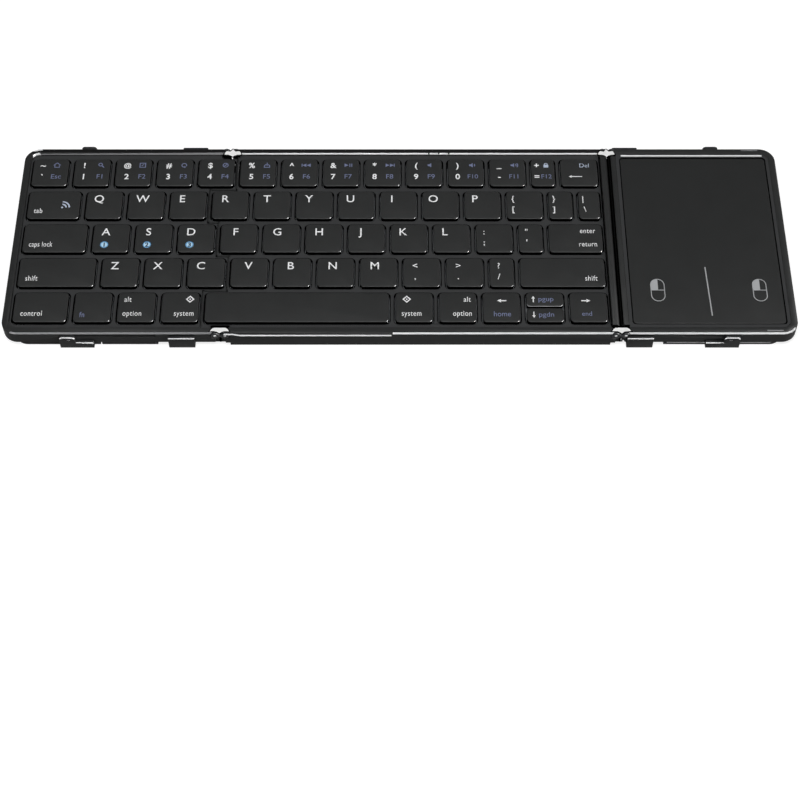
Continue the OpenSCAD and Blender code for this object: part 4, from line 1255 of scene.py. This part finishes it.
# ---- studio
@dataclass
class Studio:
    """A pale floor, soft lamps and the camera."""

    pitch_deg: float = 57.1
    lens_mm: float = 82.7
    place: Point = (0.0001, -0.5076, 0.6595)
    floor_color: str = "#9c9c9c"
    floor_glow: float = 0.8
    world_light: float = 0.17

    def build(self) -> None:
        """Sets up the floor, the world, the lamps and the camera."""
        scene = bpy.context.scene
        scene.view_settings.view_transform = "Standard"
        self.floor()
        self.world()
        self.lamp("overhead", (-0.1, -0.25, 1.3), (0.9, 0.6), 13.5)
        self.lamp("corner_light", (2.2, -1.0, 1.35), (0.7, 0.7), 420.0, glint=True)
        self.lamp("front_strip", (0.1, -1.25, 0.78), (1.6, 0.12), 2.0, glint=True)
        data = bpy.data.cameras.new("camera")
        data.lens = self.lens_mm
        data.sensor_width = 36
        data.clip_start = 0.01
        camera = bpy.data.objects.new("camera", data)
        camera.location = self.place
        camera.rotation_euler = (math.radians(90 - self.pitch_deg), 0, 0)
        scene.collection.objects.link(camera)
        scene.camera = camera

    def floor(self) -> None:
        """Adds a pale floor that keeps the keyboard's shadow."""
        mesh = bmesh.new()
        bmesh.ops.create_grid(mesh, x_segments=1, y_segments=1, size=6.0)
        data = bpy.data.meshes.new("floor")
        mesh.to_mesh(data)
        mesh.free()
        floor = bpy.data.objects.new("floor", data)
        floor.location.z = -0.0002
        bpy.context.scene.collection.objects.link(floor)
        material = bpy.data.materials.new("paper_sweep")
        material.use_nodes = True
        tree = material.node_tree
        shader = tree.nodes["Principled BSDF"]
        shader.inputs["Base Color"].default_value = linear(self.floor_color)
        shader.inputs["Roughness"].default_value = 0.9
        shader.inputs["Specular IOR Level"].default_value = 0.1
        seen = add(tree, "LightPath").outputs["Is Camera Ray"]
        shader.inputs["Emission Color"].default_value = (1, 1, 1, 1)
        glow = add(tree, "Math", {0: seen, 1: self.floor_glow}, operation="MULTIPLY")
        tree.links.new(glow.outputs[0], shader.inputs["Emission Strength"])
        data.materials.append(material)

    def world(self) -> None:
        """Sets an even pale world."""
        world = bpy.data.worlds.new("studio")
        world.use_nodes = True
        tree = world.node_tree
        back = tree.nodes["Background"]
        path = add(tree, "LightPath")
        seen = add(tree, "Math", {0: path.outputs["Is Camera Ray"], 1: path.outputs["Is Transmission Ray"]},
                   operation="MAXIMUM")
        level = add(tree, "MapRange", {"Value": seen.outputs[0], "To Min": self.world_light, "To Max": 1.0})
        back.inputs["Color"].default_value = (1, 1, 1, 1)
        tree.links.new(level.outputs["Result"], back.inputs["Strength"])
        bpy.context.scene.world = world

    def lamp(self, name: str, place: Point, size: tuple[float, float], watts: float, glint: bool = False) -> None:
        """Adds one soft area lamp aimed at the keyboard.

        Args:
            name: the lamp's name.
            place: where it hangs, in metres.
            size: its width and height, in metres.
            watts: its power.
            glint: whether it only shows in reflections.
        """
        data = bpy.data.lights.new(name, "AREA")
        data.shape = "RECTANGLE"
        data.size, data.size_y = size
        data.energy = watts
        lamp = bpy.data.objects.new(name, data)
        lamp.visible_diffuse = not glint
        lamp.location = place
        lamp.rotation_euler = Vector(place).to_track_quat("Z", "Y").to_euler()
        bpy.context.scene.collection.objects.link(lamp)


def main() -> None:
    """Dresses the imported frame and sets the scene."""
    logging.basicConfig(level=logging.INFO, format="%(message)s")
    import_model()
    Shell("middle", "middle_case", "middle_deck", low_line=(-76.2, -3.0)).build()
    Shell("left_wing", "left_case", "left_deck", line=Finish.GREY_RIM_HIGHLIGHT, line_mm=0.7).build()
    Shell("right_wing", "right_case", "right_deck", rear_line=False, key_wells=False, corner_mm=3.0).build()
    Keys(Layout()).build()
    Touchpad().build()
    Seams(Layout()).build()
    Cover().build()
    round_copy("left_hinge_links", "left_link", Finish.HINGE, 0.2)
    round_copy("right_hinge_links", "right_link", Finish.HINGE, 0.2)
    # The hinge pins are drawn near white, a painted highlight.
    round_copy("left_hinge_pins", "left_link", Finish.PIN, 0.45)
    round_copy("right_hinge_pins", "right_link", Finish.PIN, 0.45)
    round_copy("power_switch", "power_switch", Finish.DARK, 0.08)
    paint({
        Finish.HINGE: ("left_guide_pins", "right_guide_pins"),
        Finish.NICKEL: ("board_screws", "left_screws", "left_magnets", "right_magnets", "charging_socket"),
        Finish.RUBBER: ("middle_dome_sheet", "left_dome_sheet"),
        Finish.BOARD: ("middle_board", "left_board", "touchpad_board"),
        Finish.FOIL: ("battery",),
        Finish.PLATE: ("base_cover", "left_bridge_plate"),
    })
    Studio().build()


if __name__ == "__main__":
    main()
